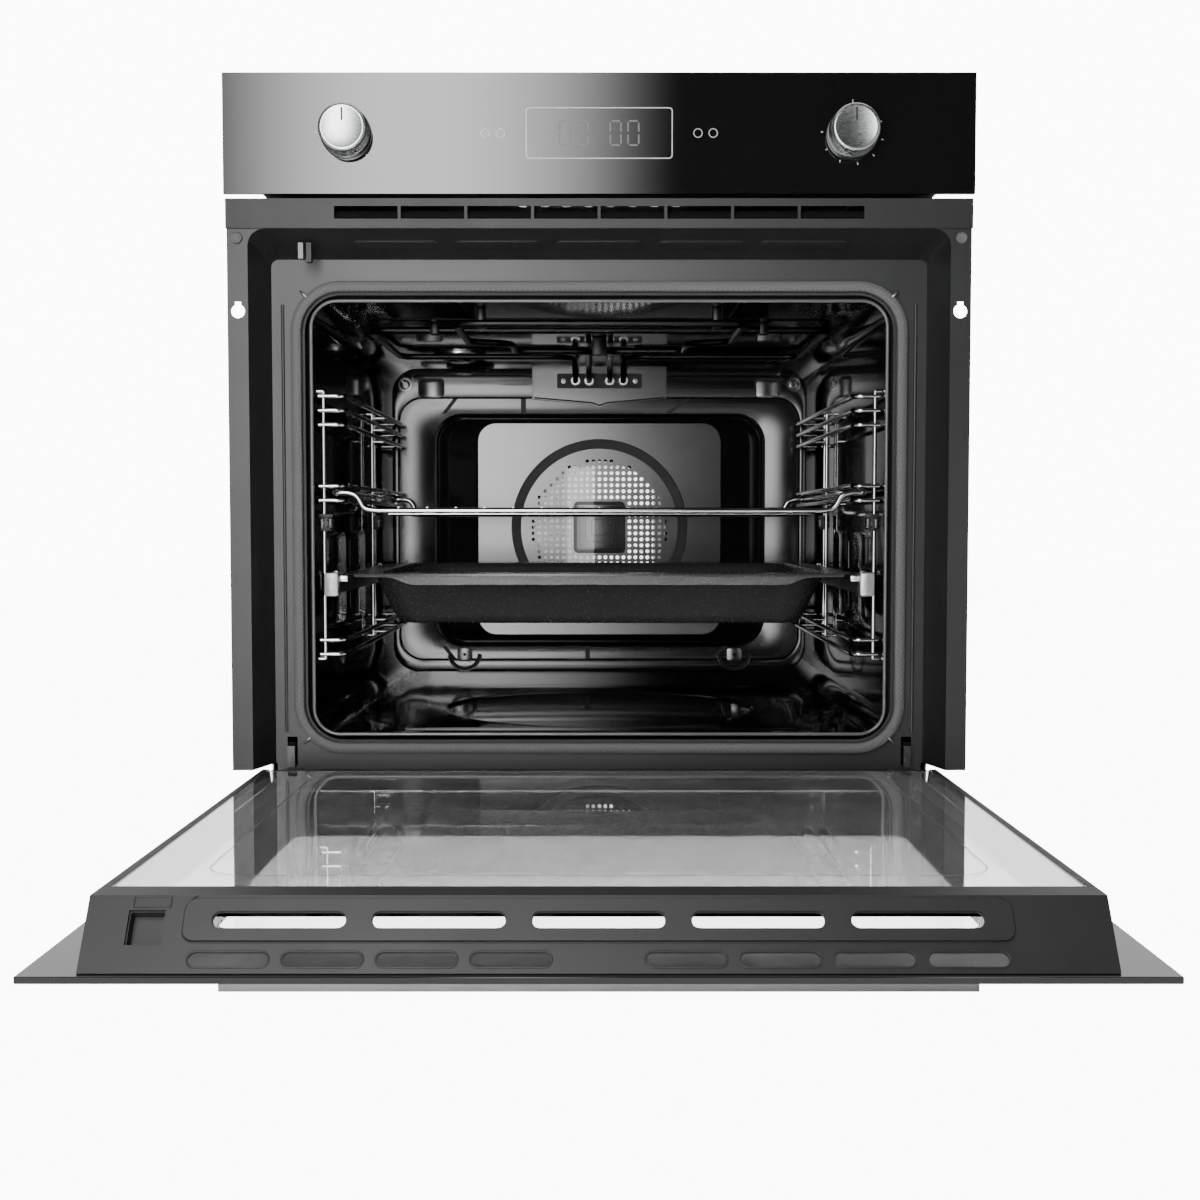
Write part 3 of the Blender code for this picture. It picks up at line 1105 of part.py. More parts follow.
def build_door_frame():
    """Stiles, bottom rail with its hinge covers, and the slanted top trim with the vent insert."""
    near = DOOR_GLASS_BACK + GAP
    top = TRIM_INNER_Z - TRIM_TOP_FLAT - GAP
    low = INNER_GLASS_BOTTOM
    for word, side in SIDES:
        outer, wall = DOOR_HALF, DOOR_HALF - 2.4 * MM
        strip = DOOR_HALF - STILE_STRIP
        shape = [(outer, near), (outer, DOOR_INNER_FACE), (strip, DOOR_INNER_FACE),
                 (strip, DOOR_INNER_FACE - 2 * MM), (wall, DOOR_INNER_FACE - 2 * MM),
                 (wall, near + 1.6 * MM), (outer - 14 * MM, near + 1.6 * MM), (outer - 14 * MM, near)]
        shape = [(side * x, y) for x, y in shape]
        stile = plate([shape if side > 0 else list(reversed(shape))], low, top, FLAT)
        slot = across(side, HINGE_X - CLAW_WIDTH, HINGE_X + CLAW_WIDTH)
        cut(stile, block((slot[0], near - 5 * MM, low - 5 * MM),
                         (slot[1], near + 6 * MM, CHANNEL_TOP + 3 * MM)))
        add(hang(stile), f"door_stile_{word}", BLACK_PLASTIC)

    bottom = DOOR_BOTTOM + 1 * MM
    outline = [(near, bottom), (8 * MM, bottom), (DOOR_INNER_FACE, low - 6 * MM),
               (DOOR_INNER_FACE, low - GAP), (DOOR_INNER_FACE - 2 * MM, low - GAP),
               (DOOR_INNER_FACE - 2 * MM, low - 5 * MM), (7 * MM, bottom + 2 * MM),
               (near, bottom + 2 * MM)]
    rail = plate([outline], -DOOR_HALF, DOOR_HALF, ALONG)
    for _, side in SIDES:
        x = across(side, DOOR_HALF - 2 * MM, DOOR_HALF)
        fuse(rail, plate([[(near + 0.2 * MM, bottom + 0.4 * MM), (8 * MM, bottom + 0.4 * MM),
                           (DOOR_INNER_FACE - 0.2 * MM, low - 5.6 * MM),
                           (DOOR_INNER_FACE - 0.2 * MM, low - 2 * GAP),
                           (near + 0.2 * MM, low - 2 * GAP)]], *x, ALONG))
        slot = HINGE_X - CLAW_WIDTH / 2 - CLAW_SIDE_GAP - EAR - GAP
        x = across(side, slot, 2 * HINGE_X - slot)
        cut(rail, block((x[0], near - 9 * MM, bottom - 9 * MM),
                        (x[1], DOOR_INNER_FACE + 9 * MM, low + 9 * MM)))
    bridge = 2 * MM
    half = DOOR_HALF - 3 * MM
    rail_top = low - GAP
    fuse(rail, block((-half, DOOR_INNER_FACE - bridge, rail_top - 1.6 * MM),
                     (half, DOOR_INNER_FACE - 0.1 * MM, rail_top - 0.1 * MM)))
    add(hang(rail), "bottom_rail", BLACK_PLASTIC)

    wall = TRIM_WALL
    slope = (trim_point(1) - trim_point(0)).normalized()
    outer_end = Vector((near, TRIM_OUTER_Z))
    inner_corner = trim_point(0, wall) + slope * wall * 0.3
    profile = [(DOOR_INNER_FACE, top + GAP), (DOOR_INNER_FACE, TRIM_INNER_Z), tuple(outer_end),
               (near, TRIM_OUTER_Z - 10 * MM), (near + 1.6 * MM, TRIM_OUTER_Z - 10 * MM),
               (near + 1.6 * MM, TRIM_OUTER_Z - wall * 1.8),
               (DOOR_INNER_FACE - wall, inner_corner[1] - 0.4 * MM), (DOOR_INNER_FACE - wall, top + GAP)]
    trim = plate([profile], -DOOR_HALF, DOOR_HALF, ALONG)
    cap = [(DOOR_INNER_FACE - 0.2 * MM, top + 2 * GAP), (DOOR_INNER_FACE - 0.2 * MM, TRIM_INNER_Z - GAP),
           (near + 0.2 * MM, TRIM_OUTER_Z - 2 * GAP), (near + 0.2 * MM, top + 2 * GAP)]
    for _, side in SIDES:
        fuse(trim, plate([cap], *across(side, DOOR_HALF - 2.4 * MM, DOOR_HALF - 0.1 * MM), ALONG))
    half = INSERT_WIDTH / 2
    opening = rounded(-half - GAP, half + GAP, 2.2 * MM, 25.4 * MM, 6 * MM)
    cut(trim, on_slope([opening], -9 * MM, 9 * MM))
    slots = []
    for side in (-1, 1):
        for i in range(LOWER_SLOTS):
            middle = side * (LOWER_SLOT_START + LOWER_SLOT_LENGTH / 2 + i * LOWER_SLOT_PITCH)
            slots.append(stadium(middle, 34.6 * MM, LOWER_SLOT_LENGTH, LOWER_SLOT))
    cut(trim, on_slope(slots, -4 * MM, 9 * MM))
    pocket = on_slope([rectangle(*POCKET_X, 8.2 * MM, 27 * MM)], -9 * MM, 9 * MM)
    cut(trim, pocket)
    add(hang(trim), "door_top_trim", BLACK_PLASTIC)

    openings = []
    for i in range(INSERT_SLOTS):
        middle = (i - (INSERT_SLOTS - 1) / 2) * INSERT_SLOT_PITCH
        openings.append(stadium(middle, 13.9 * MM, INSERT_SLOT_LENGTH, INSERT_SLOT))
    edge = rounded(-half, half, 2.5 * MM, 25.1 * MM, 6 * MM)
    insert = on_slope([edge, *openings], -1.9 * MM, 0)
    add(hang(insert), "vent_insert", BLACK_PLASTIC)


def build_door_pull():
    """Low pull with a finger groove under its lip."""
    high = DOOR_TOP - PULL_BELOW_TOP
    low = high - PULL_HEIGHT
    back = DOOR_OUTER_FACE - GAP
    front = back - PULL_DEPTH
    shape = [(back, low), (back, high), (front, high), (front, low + 8 * MM),
             (front + PULL_WALL, low + 8 * MM), (front + PULL_WALL, high - PULL_WALL),
             (back - PULL_WALL, high - PULL_WALL), (back - PULL_WALL, low)]
    pull = plate([shape], -PULL_LENGTH / 2, PULL_LENGTH / 2, ALONG)
    for side in (-1, 1):
        x = across(side, PULL_LENGTH / 2 - PULL_WALL, PULL_LENGTH / 2)
        fuse(pull, plate([rectangle(front + 0.1 * MM, back - 0.1 * MM, low + 8 * MM, high - 0.1 * MM)],
                         *x, ALONG))
    add(hang(pull), "door_pull", GALVANISED)


def build_hinges():
    """Claws fixed in the body, and the channels in the door that turn on them."""
    centre = (HINGE_Y, HINGE_Z)
    leg_front = DOOR_INNER_FACE + 1.4 * MM
    leg_back = RECESS_DEPTH - 1.4 * MM
    foot = 4.6 * MM
    radius = EAR_RADIUS - 0.4 * MM
    claw_shape = arc(centre, radius, 80, 270, 8)
    claw_shape += [(leg_back, centre[1] - radius), (leg_back, SLOT_Z[0] + 7 * MM),
                   (RECESS_DEPTH + 18 * MM, SLOT_Z[0] + 7 * MM),
                   (RECESS_DEPTH + 18 * MM, SLOT_Z[0] + 15 * MM),
                   (leg_back, SLOT_Z[0] + 15 * MM), (leg_back - 1 * MM, SLOT_Z[1] - 4 * MM),
                   (leg_front, SLOT_Z[1] - 7 * MM), (leg_front, centre[1] - radius + foot)]
    hole = arc(centre, PIN_RADIUS + PIN_CLEARANCE, 0, 330, 11)
    side_gap = CLAW_WIDTH / 2 + CLAW_SIDE_GAP
    near = DOOR_GLASS_BACK + 2 * GAP
    for word, side in SIDES:
        x = side * HINGE_X
        claw = plate([claw_shape, hole], x - CLAW_WIDTH / 2, x + CLAW_WIDTH / 2, ALONG)
        add(claw, f"hinge_claw_{word}", CHROME)

        ear = arc(centre, EAR_RADIUS, 120, 330, 8)
        ear += [(9 * MM, HINGE_Z + 12 * MM), (24 * MM, 45 * MM), (24 * MM, CHANNEL_TOP),
                (near, CHANNEL_TOP), (near, HINGE_Z + 6.6 * MM)]
        left = plate([ear], x - side_gap - EAR, x - side_gap, ALONG)
        right = plate([ear], x + side_gap, x + side_gap + EAR, ALONG)
        web = block((x - side_gap - EAR / 2, near + 0.2 * MM, 45 * MM),
                    (x + side_gap + EAR / 2, near + EAR, CHANNEL_TOP - 1 * MM))
        pin = rod((x - side_gap - EAR / 2, *centre), (x + side_gap + EAR / 2, *centre),
                  PIN_RADIUS, 12)
        channel = fuse(left, right, web, pin)
        add(hang(channel), f"hinge_channel_{word}", GALVANISED)


build_front_frame()
build_bumpers()
build_vent_strip()
build_gasket()
build_cavity()
build_fan_cover()
build_fan()
build_upper_elements()
build_bottom_element()
build_cavity_fittings()
build_side_racks()
build_rails()
build_shelf()
build_tray()
build_catch()
build_body()
build_blower()
build_controls()
build_door_glass()
build_door_frame()
build_door_pull()
build_hinges()
door.rotation_euler = (math.pi / 2, 0, 0)
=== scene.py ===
"""Looks of the built-in wall oven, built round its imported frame.

Each sub-assembly is a class: its fields are sizes in millimetres and its methods build and dress its
pieces. X runs across the oven, +Y runs into it, +Z is up, and the scene's own units are metres.
"""

import logging
import math
from collections.abc import Iterable, Sequence
from dataclasses import dataclass
from enum import Enum

import bmesh
import bpy
from mathutils import Matrix, Vector


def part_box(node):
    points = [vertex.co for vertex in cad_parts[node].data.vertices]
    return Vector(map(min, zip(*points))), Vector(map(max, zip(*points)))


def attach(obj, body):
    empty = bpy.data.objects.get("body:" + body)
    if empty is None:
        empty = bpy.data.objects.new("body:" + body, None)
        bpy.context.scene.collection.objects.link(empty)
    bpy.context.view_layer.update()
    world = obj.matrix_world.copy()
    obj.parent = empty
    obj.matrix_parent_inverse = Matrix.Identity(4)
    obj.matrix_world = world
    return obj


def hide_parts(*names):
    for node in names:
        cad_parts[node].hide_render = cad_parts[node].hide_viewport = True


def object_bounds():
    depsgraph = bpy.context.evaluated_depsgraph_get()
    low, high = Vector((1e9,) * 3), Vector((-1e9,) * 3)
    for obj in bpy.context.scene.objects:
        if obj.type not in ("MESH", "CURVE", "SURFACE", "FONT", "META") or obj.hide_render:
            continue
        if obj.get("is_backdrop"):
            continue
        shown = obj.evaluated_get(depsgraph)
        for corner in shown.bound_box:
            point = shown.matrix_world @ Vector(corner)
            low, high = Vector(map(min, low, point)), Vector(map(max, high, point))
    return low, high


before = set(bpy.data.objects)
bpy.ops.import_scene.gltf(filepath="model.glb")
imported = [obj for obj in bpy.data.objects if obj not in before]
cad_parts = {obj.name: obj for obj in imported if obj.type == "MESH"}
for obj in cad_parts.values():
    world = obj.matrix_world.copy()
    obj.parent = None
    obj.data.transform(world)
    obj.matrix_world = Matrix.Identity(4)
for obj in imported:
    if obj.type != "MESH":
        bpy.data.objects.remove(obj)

LOG = logging.getLogger("wall_oven")
MM = 0.001
SMOOTH_ANGLE = math.radians(38)

Flat = tuple[float, float]
Place = tuple[float, float, float]
Piece = bpy.types.Object
Tree = bpy.types.NodeTree
Socket = bpy.types.NodeSocket


class Body(Enum):
    """The frame's bodies that carry pieces."""

    CABINET = "cabinet"
    DOOR = "door"
    TRAY = "tray"
    SHELF = "shelf"
    KNOB_LEFT = "knob_left"
    KNOB_RIGHT = "knob_right"


class Plane(Enum):
    """The plane that an outline is drawn in."""

    ACROSS = "x and z"
    ALONG = "y and z"
    FLAT = "x and y"

    def place(self, u: float, v: float, w: float) -> Place:
        """The point of an outline's u and v at w along the third axis."""
        return {Plane.ACROSS: (u, w, v), Plane.ALONG: (w, u, v), Plane.FLAT: (u, v, w)}[self]


class Side(Enum):
    """Left or right of the oven's middle."""

    LEFT = -1
    RIGHT = 1

    @property
    def word(self) -> str:
        """The side's name in piece names."""
        return self.name.lower()

    def span(self, near: float, far: float) -> Flat:
        """The low and high X of a piece between two distances from the middle."""
        return min(self.value * near, self.value * far), max(self.value * near, self.value * far)


# ---------------------------------------------------------------- finishes


def linear(colour: str) -> tuple[float, float, float, float]:
    """Turn an sRGB colour to linear light.

    Args:
        colour: six hex digits after a #.

    Returns:
        Red, green and blue in linear light, and an alpha of 1.
    """
    parts = [int(colour[i : i + 2], 16) / 255 for i in (1, 3, 5)]
    light = [p / 12.92 if p <= 0.04045 else ((p + 0.055) / 1.055) ** 2.4 for p in parts]
    return (light[0], light[1], light[2], 1.0)


def add_node(
    tree: Tree, kind: str, settings: dict | None = None, links: dict | None = None
) -> bpy.types.Node:
    """Add a node with its settings and links.

    Args:
        tree: the node tree it goes in.
        kind: the node's type name.
        settings: values by socket name or number, or by the node's own property name.
        links: output sockets by the name or number of the input that each feeds.

    Returns:
        The node.
    """
    made = tree.nodes.new(kind)
    for key, value in (settings or {}).items():
        if isinstance(key, int) or key in made.inputs:
            made.inputs[key].default_value = value
        else:
            setattr(made, key, value)
    for key, source in (links or {}).items():
        tree.links.new(source, made.inputs[key])
    return made


def fresh_tree(owner: bpy.types.ID) -> Tree:
    """The empty node tree of a material, light or world."""
    owner.use_nodes = True
    owner.node_tree.nodes.clear()
    return owner.node_tree


def object_place(tree: Tree) -> Socket:
    """A surface's own coordinates in metres."""
    return add_node(tree, "ShaderNodeTexCoord").outputs["Object"]


def noise(tree: Tree, place: Socket, size: float, **values: float) -> Socket:
    """Smooth noise whose features are a number of millimetres across."""
    settings = {"Scale": 1 / (size * MM)} | {k.title(): value for k, value in values.items()}
    return add_node(tree, "ShaderNodeTexNoise", settings, {"Vector": place}).outputs["Fac"]


def crystals(tree: Tree, place: Socket, size: float) -> bpy.types.Node:
    """Cells whose middles are about a number of millimetres apart."""
    values = {"Scale": 1 / (size * MM), "Randomness": 1.0}
    return add_node(tree, "ShaderNodeTexVoronoi", values, {"Vector": place})


@dataclass(frozen=True)
class Finish:
    """A surface with a slow drift of colour and gloss and a fine relief."""

    name: str
    slot: str
    colour: str
    second: str
    roughness: float
    spread: float = 0.04
    metallic: float = 0.0
    drift: float = 60.0
    relief: float = 0.01
    grain: float = 3.0
    ior: float = 1.5
    coat: float = 0.0

    def pattern(self, tree: Tree, place: Socket) -> tuple[Socket, Socket]:
        """Where the second colour shows, and the relief's height.

        Args:
            tree: the material's nodes.
            place: the surface's own coordinates in metres.

        Returns:
            Two sockets, each from 0 to 1.
        """
        slow = noise(tree, place, self.drift, detail=3.0, roughness=0.6)
        return slow, noise(tree, place, self.grain, detail=2.0)

    def settings(self) -> dict:
        """Uniform numbers for the shader's own sockets."""
        values = {"Metallic": self.metallic, "Coat Weight": self.coat, "Coat Roughness": 0.05}
        if self.metallic < 1:
            values["IOR"] = self.ior
        return values

    def material(self) -> bpy.types.Material:
        """The finish's material, made on first use."""
        known = bpy.data.materials.get(self.name)
        if known:
            return known
        made = bpy.data.materials.new(self.name)
        tree = fresh_tree(made)
        shade, height = self.pattern(tree, object_place(tree))
        tint = add_node(
            tree, "ShaderNodeMix", {"data_type": "RGBA", 6: linear(self.colour), 7: linear(self.second)},
            {0: shade}
        )
        gloss = add_node(
            tree, "ShaderNodeMapRange",
            {
                "From Min": 0.25, "From Max": 0.75, "To Min": max(self.roughness - self.spread, 0.0),
                "To Max": self.roughness + self.spread
            },
            {"Value": shade}
        )
        bump = add_node(
            tree, "ShaderNodeBump", {"Strength": 1.0, "Distance": self.relief * MM}, {"Height": height}
        )
        shader = add_node(
            tree, "ShaderNodeBsdfPrincipled", self.settings(),
            {
                "Base Color": tint.outputs[2], "Roughness": gloss.outputs["Result"],
                "Normal": bump.outputs["Normal"]
            }
        )
        add_node(tree, "ShaderNodeOutputMaterial", None, {"Surface": shader.outputs["BSDF"]})
        return made


@dataclass(frozen=True)
class Glass(Finish):
    """Float glass that light passes through."""

    clearness: float = 1.0

    def settings(self) -> dict:
        """Uniform numbers, with the glass's clearness."""
        return {**super().settings(), "Transmission Weight": self.clearness}


@dataclass(frozen=True)
class Spangle(Finish):
    """Hot-dip zinc, whose crystals show as flat patches of differing grey."""

    def pattern(self, tree: Tree, place: Socket) -> tuple[Socket, Socket]:
        """Crystal patches and a fine relief, as Finish.pattern."""
        colour = crystals(tree, place, self.drift).outputs["Color"]
        grey = add_node(tree, "ShaderNodeSeparateColor", None, {0: colour})
        return grey.outputs[0], noise(tree, place, self.grain)


@dataclass(frozen=True)
class Brushed(Finish):
    """Metal with scratches along X, as a belt or a die leaves them."""

    stretch: float = 40.0

    def pattern(self, tree: Tree, place: Socket) -> tuple[Socket, Socket]:
        """Long thin scratches for both sockets, as Finish.pattern."""
        stretched = add_node(
            tree, "ShaderNodeVectorMath", {"operation": "MULTIPLY", 1: (1 / self.stretch, 1.0, 1.0)},
            {0: place}
        )
        lines = noise(tree, stretched.outputs[0], self.grain, detail=3.0)
        return lines, lines


@dataclass(frozen=True)
class Woven(Finish):
    """Glass yarn braided over a wire core."""

    def pattern(self, tree: Tree, place: Socket) -> tuple[Socket, Socket]:
        """Crossing bands of yarn, as Finish.pattern."""
        bands = []
        for turn in (1.0, -1.0):
            slanted = add_node(
                tree, "ShaderNodeVectorMath", {"operation": "MULTIPLY", 1: (1.0, turn, turn)}, {0: place}
            )
            band = add_node(
                tree, "ShaderNodeTexWave",
                {
                    "bands_direction": "DIAGONAL", "Scale": 0.16 / (self.grain * MM), "Distortion": 0.8,
                    "Detail": 1.0
                },
                {"Vector": slanted.outputs[0]}
            )
            bands.append(band.outputs["Fac"])
        weave = add_node(tree, "ShaderNodeMath", {"operation": "MULTIPLY"}, {0: bands[0], 1: bands[1]})
        return weave.outputs[0], weave.outputs[0]


@dataclass(frozen=True)
class Fibrous(Finish):
    """Matted fibres, drawn out in one direction."""

    def pattern(self, tree: Tree, place: Socket) -> tuple[Socket, Socket]:
        """Tangled streaks, as Finish.pattern."""
        streaks = noise(tree, place, self.grain, detail=8.0, distortion=3.0)
        return streaks, streaks


@dataclass(frozen=True)
class Flecked(Finish):
    """Enamel fired with fine pale flecks in it."""

    def pattern(self, tree: Tree, place: Socket) -> tuple[Socket, Socket]:
        """Flecks where small cells are close to their middles, as Finish.pattern."""
        fleck = add_node(
            tree, "ShaderNodeMapRange",
            {"From Min": 0.10, "From Max": 0.22, "To Min": 1.0, "To Max": 0.0},
            {"Value": crystals(tree, place, self.drift).outputs["Distance"]}
        )
        return fleck.outputs["Result"], noise(tree, place, self.grain)


# Fired glassy enamel on steel: near black, with the faint ripple of a melted coat.
CAVITY_ENAMEL = Finish(
    "vitreous_enamel_fired_black", "cavity_enamel", "#080809", "#0e0e0f", 0.08, 0.03, drift=45,
    relief=0.006, grain=14, ior=1.5
)
# The same enamel on the formed baffle: a little greyer, with a softer gloss.
BAFFLE_SKIN_ENAMEL = Finish(
    "vitreous_enamel_fired_dark_grey", "cavity_enamel", "#111112", "#171718", 0.14, 0.03, drift=60,
    relief=0.004, grain=14, ior=1.5
)
# Grey enamel on the raised plate: the palest face in the oven.
BAFFLE_ENAMEL = Finish(
    "vitreous_enamel_fired_grey", "cavity_enamel", "#222223", "#2a2a2b", 0.2, 0.02, drift=90,
    relief=0.003, grain=14, ior=1.75
)
# Satin enamel on the pressed front: a broad soft sheen.
FRAME_ENAMEL = Finish(
    "satin_enamel_sprayed_grey", "frame_enamel", "#1b1c1c", "#202121", 0.42, 0.03, drift=80, relief=0.01,
    grain=2.2, ior=1.55
)
# Enamel with flecks, as on trays; flecks are drawn about twice their real size so that they show.
TRAY_ENAMEL = Flecked(
    "flecked_enamel_fired_on_steel", "tray_enamel", "#2d2d2e", "#393939", 0.3, 0.03, drift=2.4,
    relief=0.01, grain=5, ior=1.55
)
# Glass-filled nylon from a spark-eroded mould: matt, with a fine even grain.
BLACK_PLASTIC = Finish(
    "glass_filled_nylon_moulded_black", "black_plastic", "#141415", "#181819", 0.5, 0.04, drift=50,
    relief=0.02, grain=0.8
)
# Braided glass yarn: matt grey with crossing bands about 2 mm wide.
SEAL = Woven("glass_yarn_braided_grey", "seal", "#555554", "#626260", 0.7, 0.05, relief=0.07, grain=1.1)
# Nickel-chromium steel sheath oxidised by heat: dull dark grey with slow patches.
HEATER_SHEATH = Finish(
    "heater_sheath_heat_oxidised", "heater_sheath", "#1d1d1e", "#292826", 0.3, 0.06, metallic=1.0,
    drift=26, relief=0.01, grain=0.7
)
# Steel wire, drawn and chromed: bright, with faint scratches along it.
CHROME_WIRE = Brushed(
    "steel_wire_drawn_and_chromed", "chrome_wire", "#a2a3a5", "#bdbebf", 0.13, 0.04, metallic=1.0,
    relief=0.003, grain=0.9
)
# Steel strip, rolled and nickel plated: softer than chrome.
RAIL_STEEL = Brushed(
    "steel_strip_rolled_nickel_plated", "rail_steel", "#b4b4b3", "#cfcfcd", 0.28, 0.06, metallic=1.0,
    relief=0.006, grain=0.6
)
# Steel blanked and zinc plated: grey with a cloudy gloss.
HINGE_STEEL = Finish(
    "steel_blanked_zinc_plated", "hinge_steel", "#8f9091", "#a9aaaa", 0.32, 0.08, metallic=1.0, drift=12,
    relief=0.01, grain=1.2
)
# Hot-dip galvanised sheet: crystals 10 to 20 mm across.
GALVANISED = Spangle(
    "steel_sheet_hot_dip_galvanised", "galvanised", "#9a9c9d", "#acaeae", 0.4, 0.06, metallic=1.0,
    drift=14, relief=0.008, grain=2.5
)
# Glass needle mat coloured nearly black as painted shade, where it shows in the gap at the mouth: matted
# fibre.
MINERAL_WOOL_PAINTED_SHADE = Fibrous(
    "glass_mat_needled_dark_fleece", "mineral_wool", "#141412", "#1f1e1b", 0.95, 0.04, relief=0.9,
    grain=5.0
)
# Stacked motor laminations, varnished: dark layers 0.5 mm thick, drawn at 1 mm.
MOTOR_STEEL = Brushed(
    "motor_laminations_varnished", "motor_steel", "#46484a", "#66686a", 0.4, 0.08, metallic=0.9,
    relief=0.05, grain=1.0
)
# Aluminium sheet, pressed: pale and lightly scratched.
ALUMINIUM = Brushed(
    "aluminium_sheet_pressed", "aluminium_wheel", "#c3c5c6", "#dadbdc", 0.3, 0.07, metallic=1.0,
    relief=0.006, grain=1.2
)
# Steatite, pressed and fired: off-white and slightly chalky.
CERAMIC = Finish(
    "steatite_pressed_and_fired", "white_ceramic", "#cfcbbf", "#dedbd0", 0.6, 0.05, drift=20, relief=0.03,
    grain=1.5
)
# Float glass enamelled black on its back: a deep black under a clear gloss.
BLACK_GLASS = Finish(
    "float_glass_back_enamelled_black", "black_glass", "#0a0a0b", "#0e0e0f", 0.04, 0.01, drift=200,
    relief=0.001, grain=60, ior=1.52, coat=0.5
)
# Clear float glass: only its edges and reflections show.
CLEAR_GLASS = Glass(
    "float_glass_clear", "clear_glass", "#e1e3e2", "#e6e8e7", 0.015, 0.005, drift=200, relief=0.001,
    grain=60, ior=1.52
)
# Float glass with a thin heat-reflecting coat: a slightly dark mirror at a low angle.
INNER_GLASS = Glass(
    "float_glass_heat_reflecting", "door_inner_glass", "#dcdcdc", "#e2e2e2", 0.01, 0.004, drift=200,
    relief=0.0005, grain=90, ior=1.7, clearness=0.97
)
# Grey-tinted float glass: clear in its window, where its printed border leaves it open.
OUTER_GLASS = Glass(
    "float_glass_grey_tinted", "black_glass", "#c8c8c8", "#cecece", 0.012, 0.004, drift=200,
    relief=0.0005, grain=90, ior=1.52, clearness=0.98
)
# Smoked acrylic over a display: very dark and glossy.
DISPLAY_FILM = Finish(
    "smoked_acrylic_moulded", "display", "#060607", "#0a0a0c", 0.06, 0.01, drift=100, relief=0.001,
    grain=40, ior=1.49
)
# Glass-epoxy board under green solder mask.
CIRCUIT_BOARD = Finish(
    "glass_epoxy_solder_masked", "circuit_board", "#0f3b24", "#17502f", 0.35, 0.06, drift=5, relief=0.03,
    grain=1.0
)
# Turned aluminium, anodised natural: fine rings of machining.
KNOB_METAL = Brushed(
    "aluminium_turned_anodised", "knob_metal", "#a9abad", "#c1c3c4", 0.27, 0.05, metallic=1.0,
    relief=0.004, grain=0.5, stretch=6
)
# Extruded aluminium, brushed and anodised: scratches along its length.
PULL_METAL = Brushed(
    "aluminium_brushed_anodised", "pull_metal", "#9fa1a3", "#b9bbbc", 0.3, 0.05, metallic=1.0,
    relief=0.005, grain=0.5, stretch=60
)
# Steel blanked, then phosphated: a dull dark metal.
LATCH_STEEL = Finish(
    "steel_blanked_phosphated", "hinge_steel", "#4c4d4e", "#606162", 0.36, 0.06, metallic=1.0, drift=10,
    relief=0.01, grain=1.0
)
# The liner's enamel on its rolled lip, coloured a paler grey as a painted highlight along the mouth's
# edge.
LIP_PAINTED_HIGHLIGHT = Finish(
    "vitreous_enamel_thin_on_bend", "cavity_enamel", "#565656", "#666666", 0.22, 0.04, drift=40,
    relief=0.004, grain=8, ior=1.6
)
# Matt black with almost no sheen: painted shade in grooves, gaps, creases and along edges, painted dark
# reflections on the baffle's ledge, and black paint on the terminal plate and the trim's seams.
BLACK_PAINT_SHADE_AND_REFLECTION = Finish(
    "stoving_paint_matt_black", "cavity_enamel", "#080808", "#0b0b0b", 0.6, 0.05, drift=30, relief=0.01,
    grain=1.5
)
# Ceramic ink fired on glass: pale grey lines and marks.
PRINTED_PALE = Finish(
    "ceramic_ink_printed_pale", "black_glass", "#c6c8c9", "#d4d6d6", 0.35, 0.04, drift=20, relief=0.005,
    grain=0.8
)
# Ceramic ink fired on glass: a thin dark line.
PRINTED_DARK = Finish(
    "ceramic_ink_printed_dark", "door_inner_glass", "#131313", "#191919", 0.35, 0.04, drift=20,
    relief=0.005, grain=0.8
)
# Zinc die casting, barrelled and nickel plated: pale and softly bright.
CAP_METAL = Finish(
    "zinc_casting_bright_nickel", "rail_steel", "#a8a8a7", "#b8b8b7", 0.42, 0.05, metallic=0.85, drift=9,
    relief=0.008, grain=1.5
)
# Black silicone, extruded: dull, with a slight skin.
SEAL_BLACK = Finish(
    "silicone_extruded_black", "black_plastic", "#0e0e0e", "#141414", 0.5, 0.06, drift=15, relief=0.01,
    grain=1.0
)
# Dark paint wiped into a knob's groove.
PRINTED_DARK_KNOB = Finish(
    "paint_wiped_into_groove", "knob_metal", "#101011", "#17171a", 0.45, 0.05, drift=8, relief=0.01,
    grain=0.8
)
# Segments behind smoked acrylic, unlit: faint warm grey bars.
DISPLAY_SEGMENT = Finish(
    "display_segments_unlit", "display", "#5c5c58", "#6a6a64", 0.4, 0.05, drift=6, relief=0.004, grain=0.8
)
FINISHES = (
    CAVITY_ENAMEL, FRAME_ENAMEL, TRAY_ENAMEL, BLACK_PLASTIC, SEAL, HEATER_SHEATH, CHROME_WIRE, RAIL_STEEL,
    HINGE_STEEL, GALVANISED, MINERAL_WOOL_PAINTED_SHADE, MOTOR_STEEL, ALUMINIUM, CERAMIC, BLACK_GLASS, CLEAR_GLASS,
    INNER_GLASS, DISPLAY_FILM, CIRCUIT_BOARD, KNOB_METAL, PULL_METAL
)


# ---------------------------------------------------------------- shapes


def arc(centre: Flat, radius: float, start: float, end: float, steps: int) -> list[Flat]:
    """Points on an arc.

    Args:
        centre: its middle.
        radius: its radius.
        start: first angle in degrees.
        end: last angle in degrees.
        steps: how many chords it has.

    Returns:
        One point more than steps.
    """
    turns = [math.radians(start + (end - start) * i / steps) for i in range(steps + 1)]
    return [(centre[0] + radius * math.cos(a), centre[1] + radius * math.sin(a)) for a in turns]


def rounded(
    left: float, right: float, low: float, high: float, radius: float, steps: int = 8
) -> list[Flat]:
    """A rectangle's outline with round corners.

    Args:
        left: lowest u.
        right: highest u.
        low: lowest v.
        high: highest v.
        radius: the corners' radius.
        steps: chords in each corner.

    Returns:
        The outline's points, anticlockwise from the lower right corner.
    """
    a, b, c, d = left + radius, right - radius, low + radius, high - radius
    return (
        arc((b, c), radius, -90, 0, steps) + arc((b, d), radius, 0, 90, steps)
        + arc((a, d), radius, 90, 180, steps) + arc((a, c), radius, 180, 270, steps)
    )


